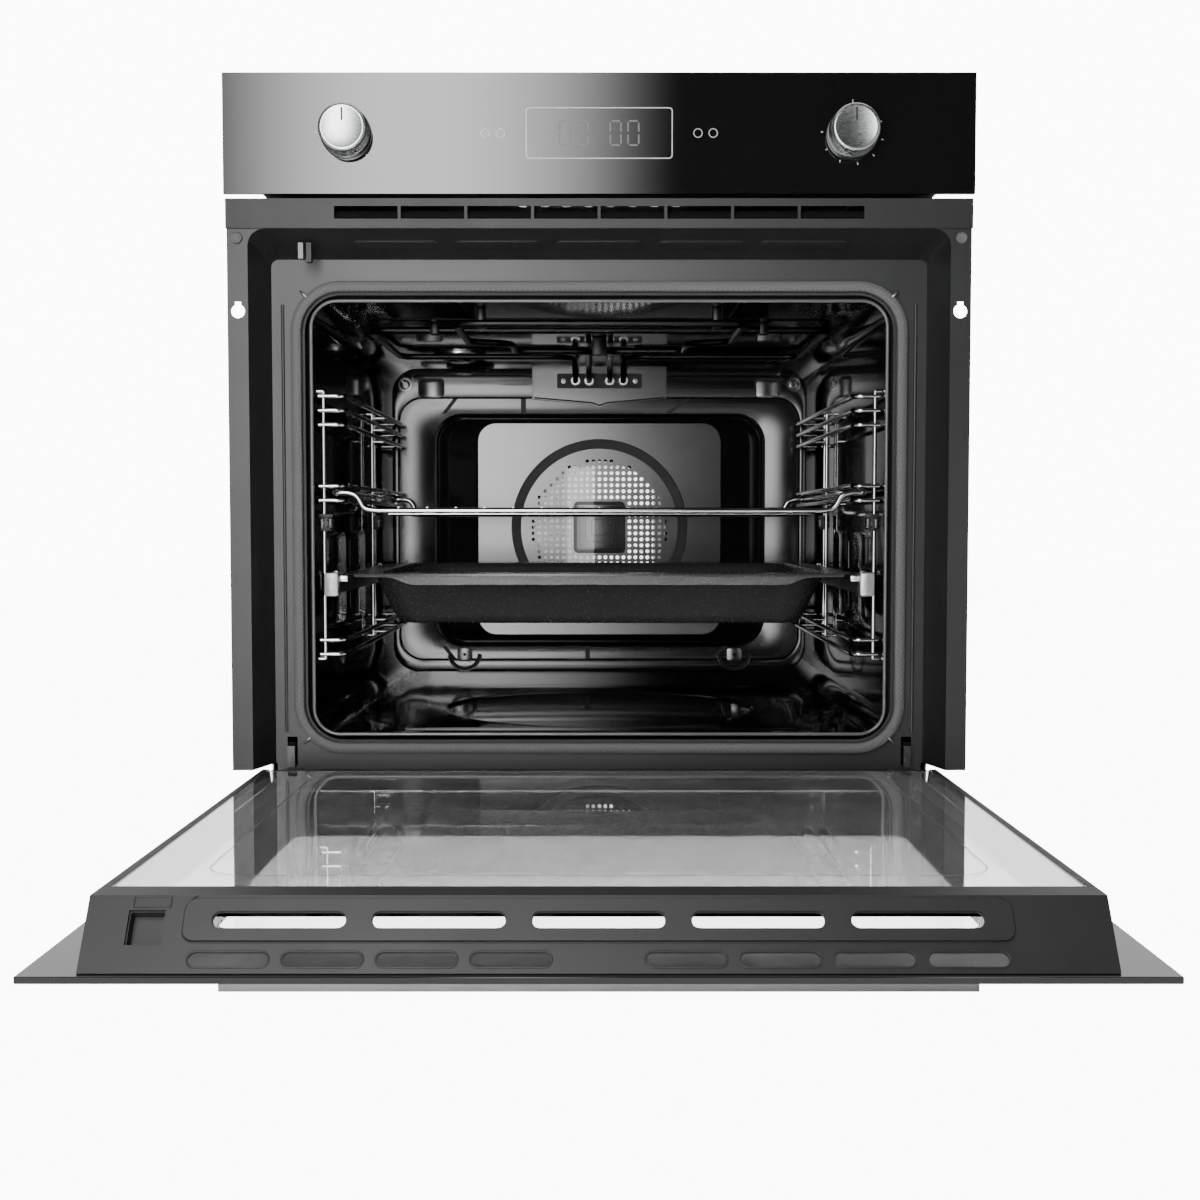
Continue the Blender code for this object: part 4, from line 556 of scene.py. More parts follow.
def linked(name: str, data: bpy.types.ID) -> Piece:
    """A new object in the scene."""
    made = bpy.data.objects.new(name, data)
    bpy.context.scene.collection.objects.link(made)
    return made


def named_object(name: str, mesh: bmesh.types.BMesh) -> Piece:
    """Turn a bmesh into an object whose soft curves are shaded smooth.

    Args:
        name: the piece's name.
        mesh: its faces, in millimetres.

    Returns:
        The object, with its mesh in metres.
    """
    bmesh.ops.scale(mesh, vec=(MM, MM, MM), verts=mesh.verts)
    bmesh.ops.recalc_face_normals(mesh, faces=mesh.faces)
    data = bpy.data.meshes.new(name)
    mesh.to_mesh(data)
    mesh.free()
    return shaded(linked(name, data))


def shaded(piece: Piece) -> Piece:
    """Shade a piece smooth except at its sharp edges."""
    piece.data.shade_smooth()
    piece.data.set_sharp_from_angle(angle=SMOOTH_ANGLE)
    return piece


def baked(piece: Piece) -> Piece:
    """Put a piece's modifiers or curve into its mesh.

    Args:
        piece: a mesh or curve object.

    Returns:
        A mesh object of the same name in the same place.
    """
    bpy.context.view_layer.update()
    graph = bpy.context.evaluated_depsgraph_get()
    data = bpy.data.meshes.new_from_object(piece.evaluated_get(graph))
    name, place = piece.name, piece.matrix_world.copy()
    bpy.data.objects.remove(piece)
    data.name = name
    data.transform(place)
    return shaded(linked(name, data))


def softened(piece: Piece, width: float, segments: int = 2) -> Piece:
    """Round a piece's sharp edges.

    Args:
        piece: a mesh object.
        width: how far the rounding reaches, in millimetres.
        segments: faces across the rounding.

    Returns:
        The piece with its edges rounded.
    """
    step = piece.modifiers.new("Bevel", "BEVEL")
    step.width = width * MM
    step.segments = segments
    step.limit_method = "ANGLE"
    step.angle_limit = math.radians(40)
    return baked(piece)


def cut(piece: Piece, cutter: Piece) -> Piece:
    """Take a cutter, which is used up, out of a piece."""
    step = piece.modifiers.new("Cut", "BOOLEAN")
    step.operation = "DIFFERENCE"
    step.object = cutter
    piece = baked(piece)
    bpy.data.objects.remove(cutter)
    return piece


def merged(name: str, parts: Iterable[Piece]) -> Piece:
    """Join several meshes into one piece.

    Args:
        name: the piece's name.
        parts: mesh objects, which are used up.

    Returns:
        The one piece.
    """
    mesh = bmesh.new()
    for part in list(parts):
        data = part.data
        data.transform(part.matrix_world)
        mesh.from_mesh(data)
        bpy.data.objects.remove(part)
        bpy.data.meshes.remove(data)
    data = bpy.data.meshes.new(name)
    mesh.to_mesh(data)
    mesh.free()
    return shaded(linked(name, data))


def slab(
    name: str, outlines: Sequence[Sequence[Flat]], low: float, high: float, plane: Plane = Plane.ACROSS,
    edge: float = 0.0
) -> Piece:
    """A flat outline, with any holes, given a thickness.

    Args:
        name: the piece's name.
        outlines: the outer outline and its holes.
        low: where it starts along the third axis.
        high: where it ends.
        plane: the plane of the outline.
        edge: how far its edges are rounded.

    Returns:
        The solid.
    """
    curve = bpy.data.curves.new(name, "CURVE")
    curve.dimensions = "2D"
    curve.fill_mode = "BOTH"
    curve.extrude = (high - low) / 2 * MM
    for outline in outlines:
        spline = curve.splines.new("POLY")
        spline.points.add(len(outline) - 1)
        for point, (u, v) in zip(spline.points, outline):
            point.co = (u * MM, v * MM, 0, 1)
        spline.use_cyclic_u = True
    piece = linked(name, curve)
    axes = [Vector(plane.place(*row)) for row in ((1, 0, 0), (0, 1, 0), (0, 0, 1))]
    turn = Matrix(axes).transposed().to_4x4()
    turn.translation = Vector(plane.place(0, 0, (low + high) / 2)) * MM
    piece.matrix_world = turn
    piece = baked(piece)
    mesh = bmesh.new()
    mesh.from_mesh(piece.data)
    bmesh.ops.remove_doubles(mesh, verts=mesh.verts, dist=0.005 * MM)
    bmesh.ops.recalc_face_normals(mesh, faces=mesh.faces)
    mesh.to_mesh(piece.data)
    mesh.free()
    return softened(piece, edge) if edge else shaded(piece)


def block(name: str, low: Place, high: Place, edge: float = 0.6) -> Piece:
    """A box between two corners with its edges rounded."""
    outline = [(low[0], low[2]), (high[0], low[2]), (high[0], high[2]), (low[0], high[2])]
    return slab(name, [outline], low[1], high[1], Plane.ACROSS, edge)


def bent(points: Sequence[Place], radius: float, closed: bool = False) -> list[Vector]:
    """Round off the corners of a run of points.

    Args:
        points: the run's corners.
        radius: how far from each corner the bend starts.
        closed: whether the run ends where it starts.

    Returns:
        Points close together round each bend.
    """
    corners = [Vector(p) for p in points]
    count = len(corners)
    path = []
    for i, corner in enumerate(corners):
        if not closed and i in (0, count - 1):
            path.append(corner)
            continue
        before, after = corners[i - 1] - corner, corners[(i + 1) % count] - corner
        start = corner + before.normalized() * min(radius, before.length * 0.48)
        end = corner + after.normalized() * min(radius, after.length * 0.48)
        for k in range(9):
            t = k / 8
            path.append(start * (1 - t) ** 2 + corner * 2 * t * (1 - t) + end * t**2)
    return path


def tube(
    name: str, points: Sequence[Place], radius: float, bend: float = 0.0, closed: bool = False,
    rings: int = 3
) -> Piece:
    """A round wire.

    Args:
        name: the piece's name.
        points: the corners of its run.
        radius: the wire's radius.
        bend: how far from each corner its bend starts.
        closed: whether it is a loop.
        rings: how finely its section is divided.

    Returns:
        The wire as a mesh.
    """
    path = bent(points, bend, closed) if bend else [Vector(p) for p in points]
    curve = bpy.data.curves.new(name, "CURVE")
    curve.dimensions = "3D"
    curve.bevel_depth = radius * MM
    curve.bevel_resolution = rings
    curve.use_fill_caps = True
    spline = curve.splines.new("POLY")
    spline.points.add(len(path) - 1)
    for point, place in zip(spline.points, path):
        point.co = (*(place * MM), 1)
    spline.use_cyclic_u = closed
    return baked(linked(name, curve))


def lathe(name: str, profile: Sequence[Flat], centre: Place, axis: Place, steps: int = 40) -> Piece:
    """A profile turned about an axis.

    Args:
        name: the piece's name.
        profile: radius and height of each point.
        centre: the point that heights are measured from.
        axis: the direction of the axis.
        steps: faces round the turn.

    Returns:
        The turned piece.
    """
    mesh = bmesh.new()
    turn = Vector(axis).to_track_quat("Z", "Y").to_matrix()
    rows = []
    for radius, height in profile:
        count = steps if radius > 0.001 else 1
        ring = []
        for i in range(count):
            a = 2 * math.pi * i / steps
            spot = Vector((radius * math.cos(a), radius * math.sin(a), height))
            ring.append(mesh.verts.new(turn @ spot + Vector(centre)))
        rows.append(ring)
    for one, two in zip(rows, rows[1:]):
        for i in range(steps):
            j = (i + 1) % steps
            corners = [one[i % len(one)], one[j % len(one)], two[j % len(two)], two[i % len(two)]]
            kept = list(dict.fromkeys(corners))
            if len(kept) > 2:
                mesh.faces.new(kept)
    return named_object(name, mesh)


def loft(name: str, sections: Sequence[Sequence[Place]], looped: bool = False) -> Piece:
    """A skin through rings of points.

    Args:
        name: the piece's name.
        sections: rings with the same number of points.
        looped: whether the last ring joins the first; otherwise both ends are closed off.

    Returns:
        The skin.
    """
    mesh = bmesh.new()
    rings = [[mesh.verts.new(p) for p in section] for section in sections]
    pairs = list(zip(rings, rings[1:])) + ([(rings[-1], rings[0])] if looped else [])
    for one, two in pairs:
        for i, corner in enumerate(one):
            j = (i + 1) % len(one)
            mesh.faces.new((corner, one[j], two[j], two[i]))
    if not looped:
        mesh.faces.new(rings[0])
        mesh.faces.new(rings[-1])
    return named_object(name, mesh)


def fit(piece: Piece, finish: Finish, body: Body = Body.CABINET, *nodes: str) -> Piece:
    """Dress a piece and make it ride.

    Args:
        piece: a finished mesh object in its place.
        finish: its surface.
        body: the body that it moves with.
        *nodes: the frame's nodes that it stands for.

    Returns:
        The piece.
    """
    piece.data.materials.clear()
    piece.data.materials.append(finish.material())
    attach(piece, body.value)
    if nodes:
        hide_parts(*nodes)
    LOG.info("%s: %s on %s", piece.name, finish.name, body.value)
    return piece


def pad(
    name: str, box: tuple[float, float, float, float], corner: tuple[float, int], span: Flat,
    finish: Finish, body: Body = Body.CABINET, plane: Plane = Plane.ACROSS, edge: float = 0.0
) -> Piece:
    """A dressed plate with round corners.

    Args:
        name: the piece's name.
        box: its lowest and highest u, then its lowest and highest v.
        corner: the corners' radius and chords.
        span: where it starts and ends along the third axis.
        finish: its surface.
        body: the body that it moves with.
        plane: the plane of its outline.
        edge: how far its edges are rounded.

    Returns:
        The plate.
    """
    return fit(slab(name, [rounded(*box, *corner)], *span, plane, edge), finish, body)


def node_box(node: str) -> tuple[Vector, Vector]:
    """A frame node's lowest and highest corners, in millimetres."""
    low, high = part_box(node)
    return low / MM, high / MM


@dataclass(frozen=True)
class RoundedRing:
    """A rounded rectangle in X and Z that rings and skins are taken from."""

    half: float
    low: float
    high: float
    radius: float
    steps: int = 10

    def at(self, margin: float, y: float) -> list[Place]:
        """The ring a margin outside the outline, at a depth."""
        outline = rounded(
            -self.half - margin, self.half + margin, self.low - margin, self.high + margin,
            max(self.radius + margin, 0.5), self.steps
        )
        return [(x, y, z) for x, z in outline]


# ---------------------------------------------------------------- sub-assemblies


@dataclass
class Studio:
    """Pale floor, soft lights and the camera."""

    camera_place: Place = (0.65, -1239.8, 240.3)
    camera_drop: float = 2.862
    lens: float = 46.2
    floor_gap: float = 1.5
    floor_reach: float = 6000.0
    paper_tooth: float = 2.5

    def build(self) -> None:
        """Make the whole studio."""
        self.set_camera()
        self.set_world()
        self.set_lights()
        self.set_floor()

    def set_camera(self) -> None:
        """A level-headed view from just above the middle, tipped slightly down."""
        data = bpy.data.cameras.new("camera")
        data.lens = self.lens
        data.sensor_width = 36
        camera = linked("camera", data)
        camera.location = Vector(self.camera_place) * MM
        camera.rotation_euler = (math.radians(90 - self.camera_drop), 0, 0)
        bpy.context.scene.camera = camera

    def looked_at(self, tree: Tree) -> Socket:
        """One where the view falls straight or through glass, nothing elsewhere."""
        path = add_node(tree, "ShaderNodeLightPath")
        either = add_node(
            tree, "ShaderNodeMath", {"operation": "MAXIMUM"},
            {0: path.outputs["Is Camera Ray"], 1: path.outputs["Is Transmission Ray"]}
        )
        return either.outputs[0]

    def set_world(self) -> None:
        """A white cyclorama behind the oven and a dark room in front of it."""
        world = bpy.data.worlds.new("studio")
        bpy.context.scene.world = world
        tree = fresh_tree(world)
        seen = self.looked_at(tree)
        direction = add_node(tree, "ShaderNodeTexCoord").outputs["Generated"]
        part = add_node(tree, "ShaderNodeSeparateXYZ", None, {0: direction})
        behind = add_node(
            tree, "ShaderNodeMapRange",
            {"From Min": -0.05, "From Max": 0.15, "To Min": 0.05, "To Max": 1.1},
            {"Value": part.outputs["Y"]}
        )
        strength = add_node(
            tree, "ShaderNodeMix", {"data_type": "FLOAT", 3: 12.0}, {0: seen, 2: behind.outputs["Result"]}
        )
        back = add_node(
            tree, "ShaderNodeBackground", {"Color": linear("#ffffff")}, {"Strength": strength.outputs[0]}
        )
        add_node(tree, "ShaderNodeOutputWorld", None, {"Surface": back.outputs[0]})

    def set_lights(self) -> None:
        """A big soft box on the left, weak ones right and above, and a lamp behind the fan."""
        for name, place, aim, size, power, fade in (
            ("soft_box_left", (-290, -1340, 420), (-60, 0, 300), (860, 1500), 56, (0.45, 0.5)),
            ("soft_box_right", (1250, -900, 700), (200, 200, 250), (300, 900), 3, None),
            ("soft_box_top", (0, 250, 1500), (0, 200, 0), (1500, 900), 5, None),
            ("fan_lamp", (20, 465, 236), (0, 500, 236), (130, 130), 0.2, None)
        ):
            data = bpy.data.lights.new(name, "AREA")
            data.shape = "RECTANGLE"
            data.size = size[0] * MM
            data.size_y = size[1] * MM
            data.energy = power
            if fade:
                self.fade_light(data, *fade)
            light = linked(name, data)
            light.location = Vector(place) * MM
            run = Vector(aim) - Vector(place)
            light.rotation_euler = run.to_track_quat("-Z", "Y").to_euler()

    def fade_light(self, data: bpy.types.AreaLight, left: float, right: float) -> None:
        """Let a soft box fade out smoothly toward both of its sides.

        Args:
            data: the light.
            left: share of its width that the fade on one side takes.
            right: share of its width that the fade on the other side takes.
        """
        tree = fresh_tree(data)
        place = add_node(tree, "ShaderNodeNewGeometry").outputs["Parametric"]
        part = add_node(tree, "ShaderNodeSeparateXYZ", None, {0: place})
        fades = [
            add_node(
                tree, "ShaderNodeMapRange",
                {"interpolation_type": "SMOOTHSTEP", "From Min": dark, "From Max": bright},
                {"Value": part.outputs["X"]}
            ).outputs["Result"]
            for dark, bright in ((0.0, left), (1.0, 1.0 - right))
        ]
        share = add_node(tree, "ShaderNodeMath", {"operation": "MULTIPLY"}, {0: fades[0], 1: fades[1]})
        glow = add_node(tree, "ShaderNodeEmission", None, {"Strength": share.outputs[0]})
        add_node(tree, "ShaderNodeOutputLight", None, {"Surface": glow.outputs[0]})

    def set_floor(self) -> None:
        """A large pale sheet just under the oven's lowest point."""
        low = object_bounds()[0][2] / MM - self.floor_gap
        reach = self.floor_reach
        outline = [(-reach, -reach), (reach, -reach), (reach, reach), (-reach, reach)]
        floor = slab("floor", [outline], low - 10, low, Plane.FLAT)
        made = bpy.data.materials.new("paper_backdrop_matt_white")
        tree = fresh_tree(made)
        tooth = noise(tree, object_place(tree), self.paper_tooth)
        bump = add_node(tree, "ShaderNodeBump", {"Distance": 0.1 * MM}, {"Height": tooth})
        paper = add_node(
            tree, "ShaderNodeBsdfDiffuse", {"Color": linear("#f4f4f4")},
            {"Normal": bump.outputs["Normal"]}
        )
        glow = add_node(tree, "ShaderNodeEmission", {"Strength": 11.0})
        seen = self.looked_at(tree)
        mixed = add_node(
            tree, "ShaderNodeMixShader", None, {0: seen, 1: paper.outputs[0], 2: glow.outputs[0]}
        )
        add_node(tree, "ShaderNodeOutputMaterial", None, {"Surface": mixed.outputs[0]})
        floor.data.materials.append(made)
        floor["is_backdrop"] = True


@dataclass
class CavityLiner:
    """Enamelled wrap with its rolled lip, shallow well and pressed floor."""

    low: float = 64.5
    high: float = 422.8
    half: float = 237.8
    radius: float = 20.0
    front: float = 46.3
    rear: float = 495.0
    sheet: float = 1.2
    lip: float = 1.5
    well_y: float = 230.0
    well_radius: float = 144.5
    well_depth: float = 2.9

    def build(self) -> None:
        """Make the liner, its well, lip and pressed details."""
        ring = RoundedRing(self.half, self.low, self.high, self.radius)
        skin = loft(
            "oven_cavity_wrap",
            [
                ring.at(self.sheet, self.front + 1), ring.at(0.2, self.front + 1),
                ring.at(0.0, self.front + 2), ring.at(0.0, self.rear), ring.at(self.sheet, self.rear)
            ],
            looped=True
        )
        edge = self.well_radius + 3
        well = lathe(
            "well_cutter", [(0, -9), (edge, -9), (edge, 9), (0, 9)], (0, self.well_y, self.low),
            (0, 0, 1), 96
        )
        skin = cut(skin, well)
        pan = lathe(
            "oven_cavity_well",
            [
                (0, -self.well_depth), (edge - 7, -self.well_depth),
                (edge - 5.2, -self.well_depth + 0.35), (edge - 3.4, -self.well_depth + 1.2),
                (edge - 2.2, -0.7), (edge - 1.2, -0.15), (edge, 0), (edge, -self.sheet),
                (edge - 3.5, -self.well_depth - self.sheet), (0, -self.well_depth - self.sheet)
            ],
            (0, self.well_y, self.low), (0, 0, 1), 96
        )
        fit(merged("oven_cavity_liner", [skin, pan]), CAVITY_ENAMEL, Body.CABINET, "oven_cavity")
        lip_ring = [Vector(p) for p in ring.at(self.lip, self.front + self.lip)]
        lip = tube("cavity_rolled_lip", lip_ring, self.lip, closed=True)
        # The lip's pale grey is a painted highlight.
        fit(lip, LIP_PAINTED_HIGHLIGHT)
        self.build_floor_beads()
        self.build_wall_presses()

    def build_floor_beads(self) -> None:
        """Two low pressed beads across the floor, behind the well and before it."""
        span = self.low + 0.1, self.low + 1.1
        for name, y in (("rear", 410), ("front", 66)):
            box = (-168, 168, y - 3.5, y + 3.5)
            pad(f"floor_bead_{name}", box, (3.4, 6), span, CAVITY_ENAMEL, plane=Plane.FLAT, edge=0.9)

    def build_wall_presses(self) -> None:
        """Upright pressed panels in the side walls that the racks stand over."""
        for side in Side:
            for name, start, end in (("front", 96, 200), ("rear", 225, 318)):
                pad(
                    f"wall_press_{name}_{side.word}", (start, end, 150, 232), (12, 6),
                    side.span(self.half - 1.1, self.half - 0.1), CAVITY_ENAMEL, plane=Plane.ALONG,
                    edge=0.9
                )


@dataclass
class MouthGasket:
    """Braided seal round the mouth with a steel hook in each corner."""

    half: float = 253.8
    low: float = 48.5
    high: float = 438.8
    radius: float = 41.0
    width: float = 9.0
    front: float = 32.4
    back: float = 39.6

    def build(self) -> None:
        """Make the seal and its hooks."""
        ring = RoundedRing(self.half, self.low, self.high, self.radius, 14)
        middle = (self.front + self.back) / 2
        deep = (self.back - self.front) / 2
        turns = [math.radians(a) for a in range(0, 360, 30)]
        sections = [
            ring.at(
                -self.width / 2 + self.width / 2 * math.cos(a),
                middle + deep * math.copysign(abs(math.sin(a)) ** 0.7, math.sin(a))
            )
            for a in turns
        ]
        seal = loft("mouth_gasket_braid", sections, looped=True)
        fit(seal, SEAL, Body.CABINET, "oven_gasket")
        bead = loft(
            "mouth_gasket_inner_fin",
            [
                ring.at(-self.width - 0.3, self.back), ring.at(-self.width - 2.4, self.back - 2.2),
                ring.at(-self.width - 2.4, self.back - 1.4), ring.at(-self.width - 0.9, self.back)
            ],
            looped=True
        )
        fit(bead, SEAL)
        self.build_hooks()

    def build_hooks(self) -> None:
        """Bent wire hooks that pull the seal into the corners."""
        reach = self.radius - (self.radius + 1.0) / math.sqrt(2)
        for side in Side:
            for name, z, rise in (("upper", self.high - reach, 1), ("lower", self.low + reach, -1)):
                x = side.value * (self.half - reach)
                out = (side.value * 3.2, 0.0, rise * 3.2)
                hook = tube(
                    f"gasket_hook_{name}_{side.word}",
                    [
                        (x - out[0], self.front + 1.5, z - out[2]), (x, self.front + 0.6, z),
                        (x + out[0] * 0.9, self.front + 2.5, z + out[2] * 0.9),
                        (x + out[0] * 0.9, self.back + 0.2, z + out[2] * 0.9)
                    ],
                    0.8, 1.6
                )
                fit(hook, RAIL_STEEL)


@dataclass
class FrontFace:
    """Pressed beads, ceiling swages and rubber buttons of the front frame."""

    wall_half: float = 280.4
    taper: float = 10.4
    depth: float = 40.0
    ceiling: float = 474.5
    drop: float = 17.8
    swages: int = 5
    swage_pitch: float = 82.6
    swage_length: float = 70.0

    def build(self) -> None:
        """Make every pressed detail."""
        self.build_swages()
        self.build_side_beads()
        self.build_buttons()
        self.build_keyhole_edges()

    def ceiling_at(self, y: float) -> float:
        """The recess ceiling's height at a depth."""
        return self.ceiling - self.drop * y / self.depth

    def build_swages(self) -> None:
        """Long rounded swages pressed down from the sloping ceiling."""
        slope = math.atan2(self.drop, self.depth)
        middle = 19.0
        for i in range(self.swages):
            x = (i - (self.swages - 1) / 2) * self.swage_pitch
            half = self.swage_length / 2
            swage = slab(
                f"ceiling_swage_{i + 1}", [rounded(-half, half, -4.6, 4.6, 4.5, 8)], -1.3, 0.2,
                Plane.FLAT, 1.1
            )
            place = Matrix.Translation(Vector((x, middle, self.ceiling_at(middle))) * MM)
            swage.matrix_world = place @ Matrix.Rotation(-slope, 4, "X")
            fit(swage, FRAME_ENAMEL)

    def build_side_beads(self) -> None:
        """Upright stiffening beads in the recess floor, left and right of the gasket."""
        floor_half = self.wall_half - self.taper
        for side in Side:
            x = side.value * (floor_half - 9.0)
            bead = tube(
                f"recess_bead_{side.word}", [(x, self.depth + 0.4, 66.0), (x, self.depth + 0.4, 420.0)],
                1.5
            )
            fit(bead, FRAME_ENAMEL)

    def build_buttons(self) -> None:
        """Soft buttons with a turned rim that the closed door rests on."""
        for side in Side:
            low, high = node_box(f"bumper_{side.word}")
            x, z = (low.x + high.x) / 2, (low.z + high.z) / 2
            radius = (high.x - low.x) / 2
            proud = -low.y
            button = lathe(
                f"rubber_button_{side.word}",
                [
                    (0, proud - 0.35), (radius - 2.2, proud - 0.3), (radius - 1.4, proud),
                    (radius - 0.6, proud - 0.25), (radius - 0.1, proud - 1.0), (radius, 0.3), (0, 0.3)
                ],
                (x, 0, z), (0, -1, 0)
            )
            fit(button, SEAL, Body.CABINET, f"bumper_{side.word}")

    def build_keyhole_edges(self) -> None:
        """A turned-in edge round each fixing keyhole."""
        for side in Side:
            x = side.value * 288.5
            edge = tube(
                f"keyhole_edge_{side.word}", [(u, 0.9, v) for u, v in arc((x, 409.3), 6.1, -240, 60, 30)],
                0.6
            )
            fit(edge, FRAME_ENAMEL)


@dataclass
class FanBaffle:
    """Formed baffle in front of the fan: rim, ledge, slanted channel and raised plate."""

    half: float = 226.4
    low: float = 76.9
    high: float = 408.7
    radius: float = 28.0
    front: float = 450.0
    depth: float = 11.6
    plate_half: float = 133.9
    plate_low: float = 116.7
    plate_high: float = 350.3
    plate_radius: float = 21.0
    centre: float = 235.6
    groove_inner: float = 85.9
    groove_outer: float = 96.4
    pitch: float = 6.58
    hole: float = 2.0
    reach: float = 73.8
    badge_half: float = 27.4
    sheet: float = 1.2
    ledge: float = 2.4
    channel: float = 8.0

    def build(self) -> None:
        """Make the baffle and what is on it."""
        skin = self.build_skin()
        plate = self.build_plate()
        fit(skin, BAFFLE_SKIN_ENAMEL, Body.CABINET, "fan_cover")
        fit(plate, BAFFLE_ENAMEL)
        self.build_grille()
        self.build_badge()
        self.build_seams()
        self.build_tabs()
        self.build_hooks()
        self.build_screws()

    def build_skin(self) -> Piece:
        """The formed skin from the rim to the raised plate's side."""
        rim = RoundedRing(self.half, self.low, self.high, self.radius, 12)
        step = RoundedRing(219, 90, 377, 26, 12)
        foot = RoundedRing(180, 106, 358.4, 30, 12)
        plate = RoundedRing(self.plate_half, self.plate_low, self.plate_high, self.plate_radius, 12)
        y = self.front
        base = y + self.depth
        sections = [
            rim.at(0, base + self.channel + 1.2), rim.at(0, y + 1.2), rim.at(-0.35, y + 0.35),
            rim.at(-1.2, y), step.at(1.0, y), step.at(0.2, y + 0.3), step.at(-0.4, y + 1.7),
            step.at(-1.2, y + self.ledge), foot.at(1.6, y + self.ledge),
            foot.at(0.5, y + self.ledge + 0.5), foot.at(-0.3, y + self.ledge + 1.8),
            foot.at(-1.0, base + self.channel - 1.4), foot.at(-1.9, base + self.channel - 0.4),
            foot.at(-3.2, base + self.channel), plate.at(2.4, y + 2.9), plate.at(0.9, y + 2.3),
            plate.at(0.2, y + 1.8), plate.at(-0.4, y + 1.0), plate.at(-1.4, y + 0.6),
            plate.at(-1.4, y + 0.6 + self.sheet), plate.at(-1.2, base + self.channel + 1.2),
            rim.at(-1.2, base + self.channel + 1.2)
        ]
        return loft("baffle_skin", sections, looped=True)

    def build_plate(self) -> Piece:
        """The raised plate's face outside the groove."""
        half = self.plate_half - 1.4
        outline = rounded(
            -half, half, self.plate_low + 1.4, self.plate_high - 1.4, self.plate_radius - 1.4, 12
        )
        hole = arc((0, self.centre), self.groove_outer, 0, 360, 96)[:-1]
        y = self.front + 0.6
        return slab("baffle_plate", [outline, hole], y, y + self.sheet)

    def build_grille(self) -> None:
        """The round perforated plate in its groove, coloured black as painted shade."""
        y = self.front + 0.6
        # The groove is coloured black as painted shade.
        groove = lathe(
            "fan_groove",
            [
                (self.groove_outer + 0.2, 0.1), (self.groove_outer - 0.5, 1.8),
                (self.groove_inner + 0.5, 1.8), (self.groove_inner - 0.2, 0.1),
                (self.groove_inner - 0.2, 2.6), (self.groove_outer + 0.2, 2.6),
                (self.groove_outer + 0.2, 0.1)
            ],
            (0, y, self.centre), (0, 1, 0), 96
        )
        fit(groove, BLACK_PAINT_SHADE_AND_REFLECTION)
        outlines = [arc((0, self.centre), self.groove_inner, 0, 360, 96)[:-1]]
        edge = self.badge_half + 0.9
        outlines.append(rounded(-edge, edge, self.centre - edge, self.centre + edge, 5.5, 5))
        count = int(self.reach / self.pitch) + 1
        for i in range(-count, count + 1):
            for j in range(-count, count + 1):
                x, z = i * self.pitch, j * self.pitch
                near_badge = max(abs(x), abs(z)) < edge + self.hole + 0.6
                if math.hypot(x, z) < self.reach and not near_badge:
                    outlines.append(arc((x, self.centre + z), self.hole, 0, 330, 11))
        grille = slab("fan_grille", outlines, y, y + self.sheet)
        fit(grille, BAFFLE_ENAMEL)

    def build_badge(self) -> None:
        """A plain square cap in the grille's middle, set in a black surround that is painted shade round
        its edge.
        """
        y = self.front + 0.6
        half = self.badge_half
        c = self.centre
        edge = half + 0.9
        inner = half - 2.6
        # The black surround is painted shade round the cap.
        surround = slab(
            "grille_cap_surround",
            [
                rounded(-edge, edge, c - edge, c + edge, 5.5, 6),
                rounded(-inner, inner, c - inner, c + inner, 3.2, 6)
            ],
            y - 0.5, y + self.sheet + 1, edge=0.4
        )
        fit(surround, BLACK_PAINT_SHADE_AND_REFLECTION)
        box = (-inner, inner, c - inner, c + inner)
        span = (y - 0.1, y + self.sheet + 1)
        pad("grille_cap", box, (3.2, 6), span, TRAY_ENAMEL, edge=0.5)
        for name, size in (("outer", 0.62), ("inner", 0.34)):
            r = inner * size
            line = [(u, y - 0.12, v) for u, v in rounded(-r, r, c - r, c + r, 2.5, 5)]
            fit(tube(f"grille_cap_bead_{name}", line, 0.28, closed=True), BAFFLE_ENAMEL)

    def build_seams(self) -> None:
        """Black strips that cross the ledge, top and bottom: painted dark reflections of the grill's
        hanger rods.
        """
        upper, upper_foot = 376.4, 359.6
        lower, lower_foot = 90.8, 105.0
        for i, (top, foot, width, z_top, z_foot) in enumerate(
            (
                (-157, -170, 5.0, upper, upper_foot), (-83, -83, 5.5, upper, upper_foot),
                (97, 74, 6.0, upper, upper_foot), (-13, -13, 5.0, lower, lower_foot),
                (122, 140, 6.0, lower, lower_foot), (-160, -171, 5.0, lower, lower_foot)
            )
        ):
            y_top = self.front + self.ledge - 0.006
            y_foot = self.front + self.ledge - 0.094
            corners = (
                (top - width / 2, y_top, z_top), (top + width / 2, y_top, z_top),
                (foot + width / 2, y_foot, z_foot), (foot - width / 2, y_foot, z_foot)
            )
            back = [(x, y + 1.0, z) for x, y, z in corners]
            # Each strip is a painted dark reflection, not a joint.
            fit(loft(f"baffle_seam_{i + 1}", [corners, back]), BLACK_PAINT_SHADE_AND_REFLECTION)

    def build_tabs(self) -> None:
        """Lanced tabs in the rim's upper band, each on a black pad that is painted shade in its gap."""
        low, high = 377.5, 398.0
        for side in Side:
            x = side.value * 183.4
            half = 14.4
            inner = half - 2.2
            # A black pad behind each tab as painted shade in its gap.
            pad(
                f"rim_tab_gap_{side.word}", (x - half, x + half, low, high), (5, 6),
                (self.front - 0.25, self.front + 0.6), BLACK_PAINT_SHADE_AND_REFLECTION
            )
            pad(
                f"rim_tab_{side.word}", (x - inner, x + inner, low - 0.4, high - 2.4), (3.5, 6),
                (self.front - 0.9, self.front + 0.6), BAFFLE_ENAMEL, edge=0.5
            )

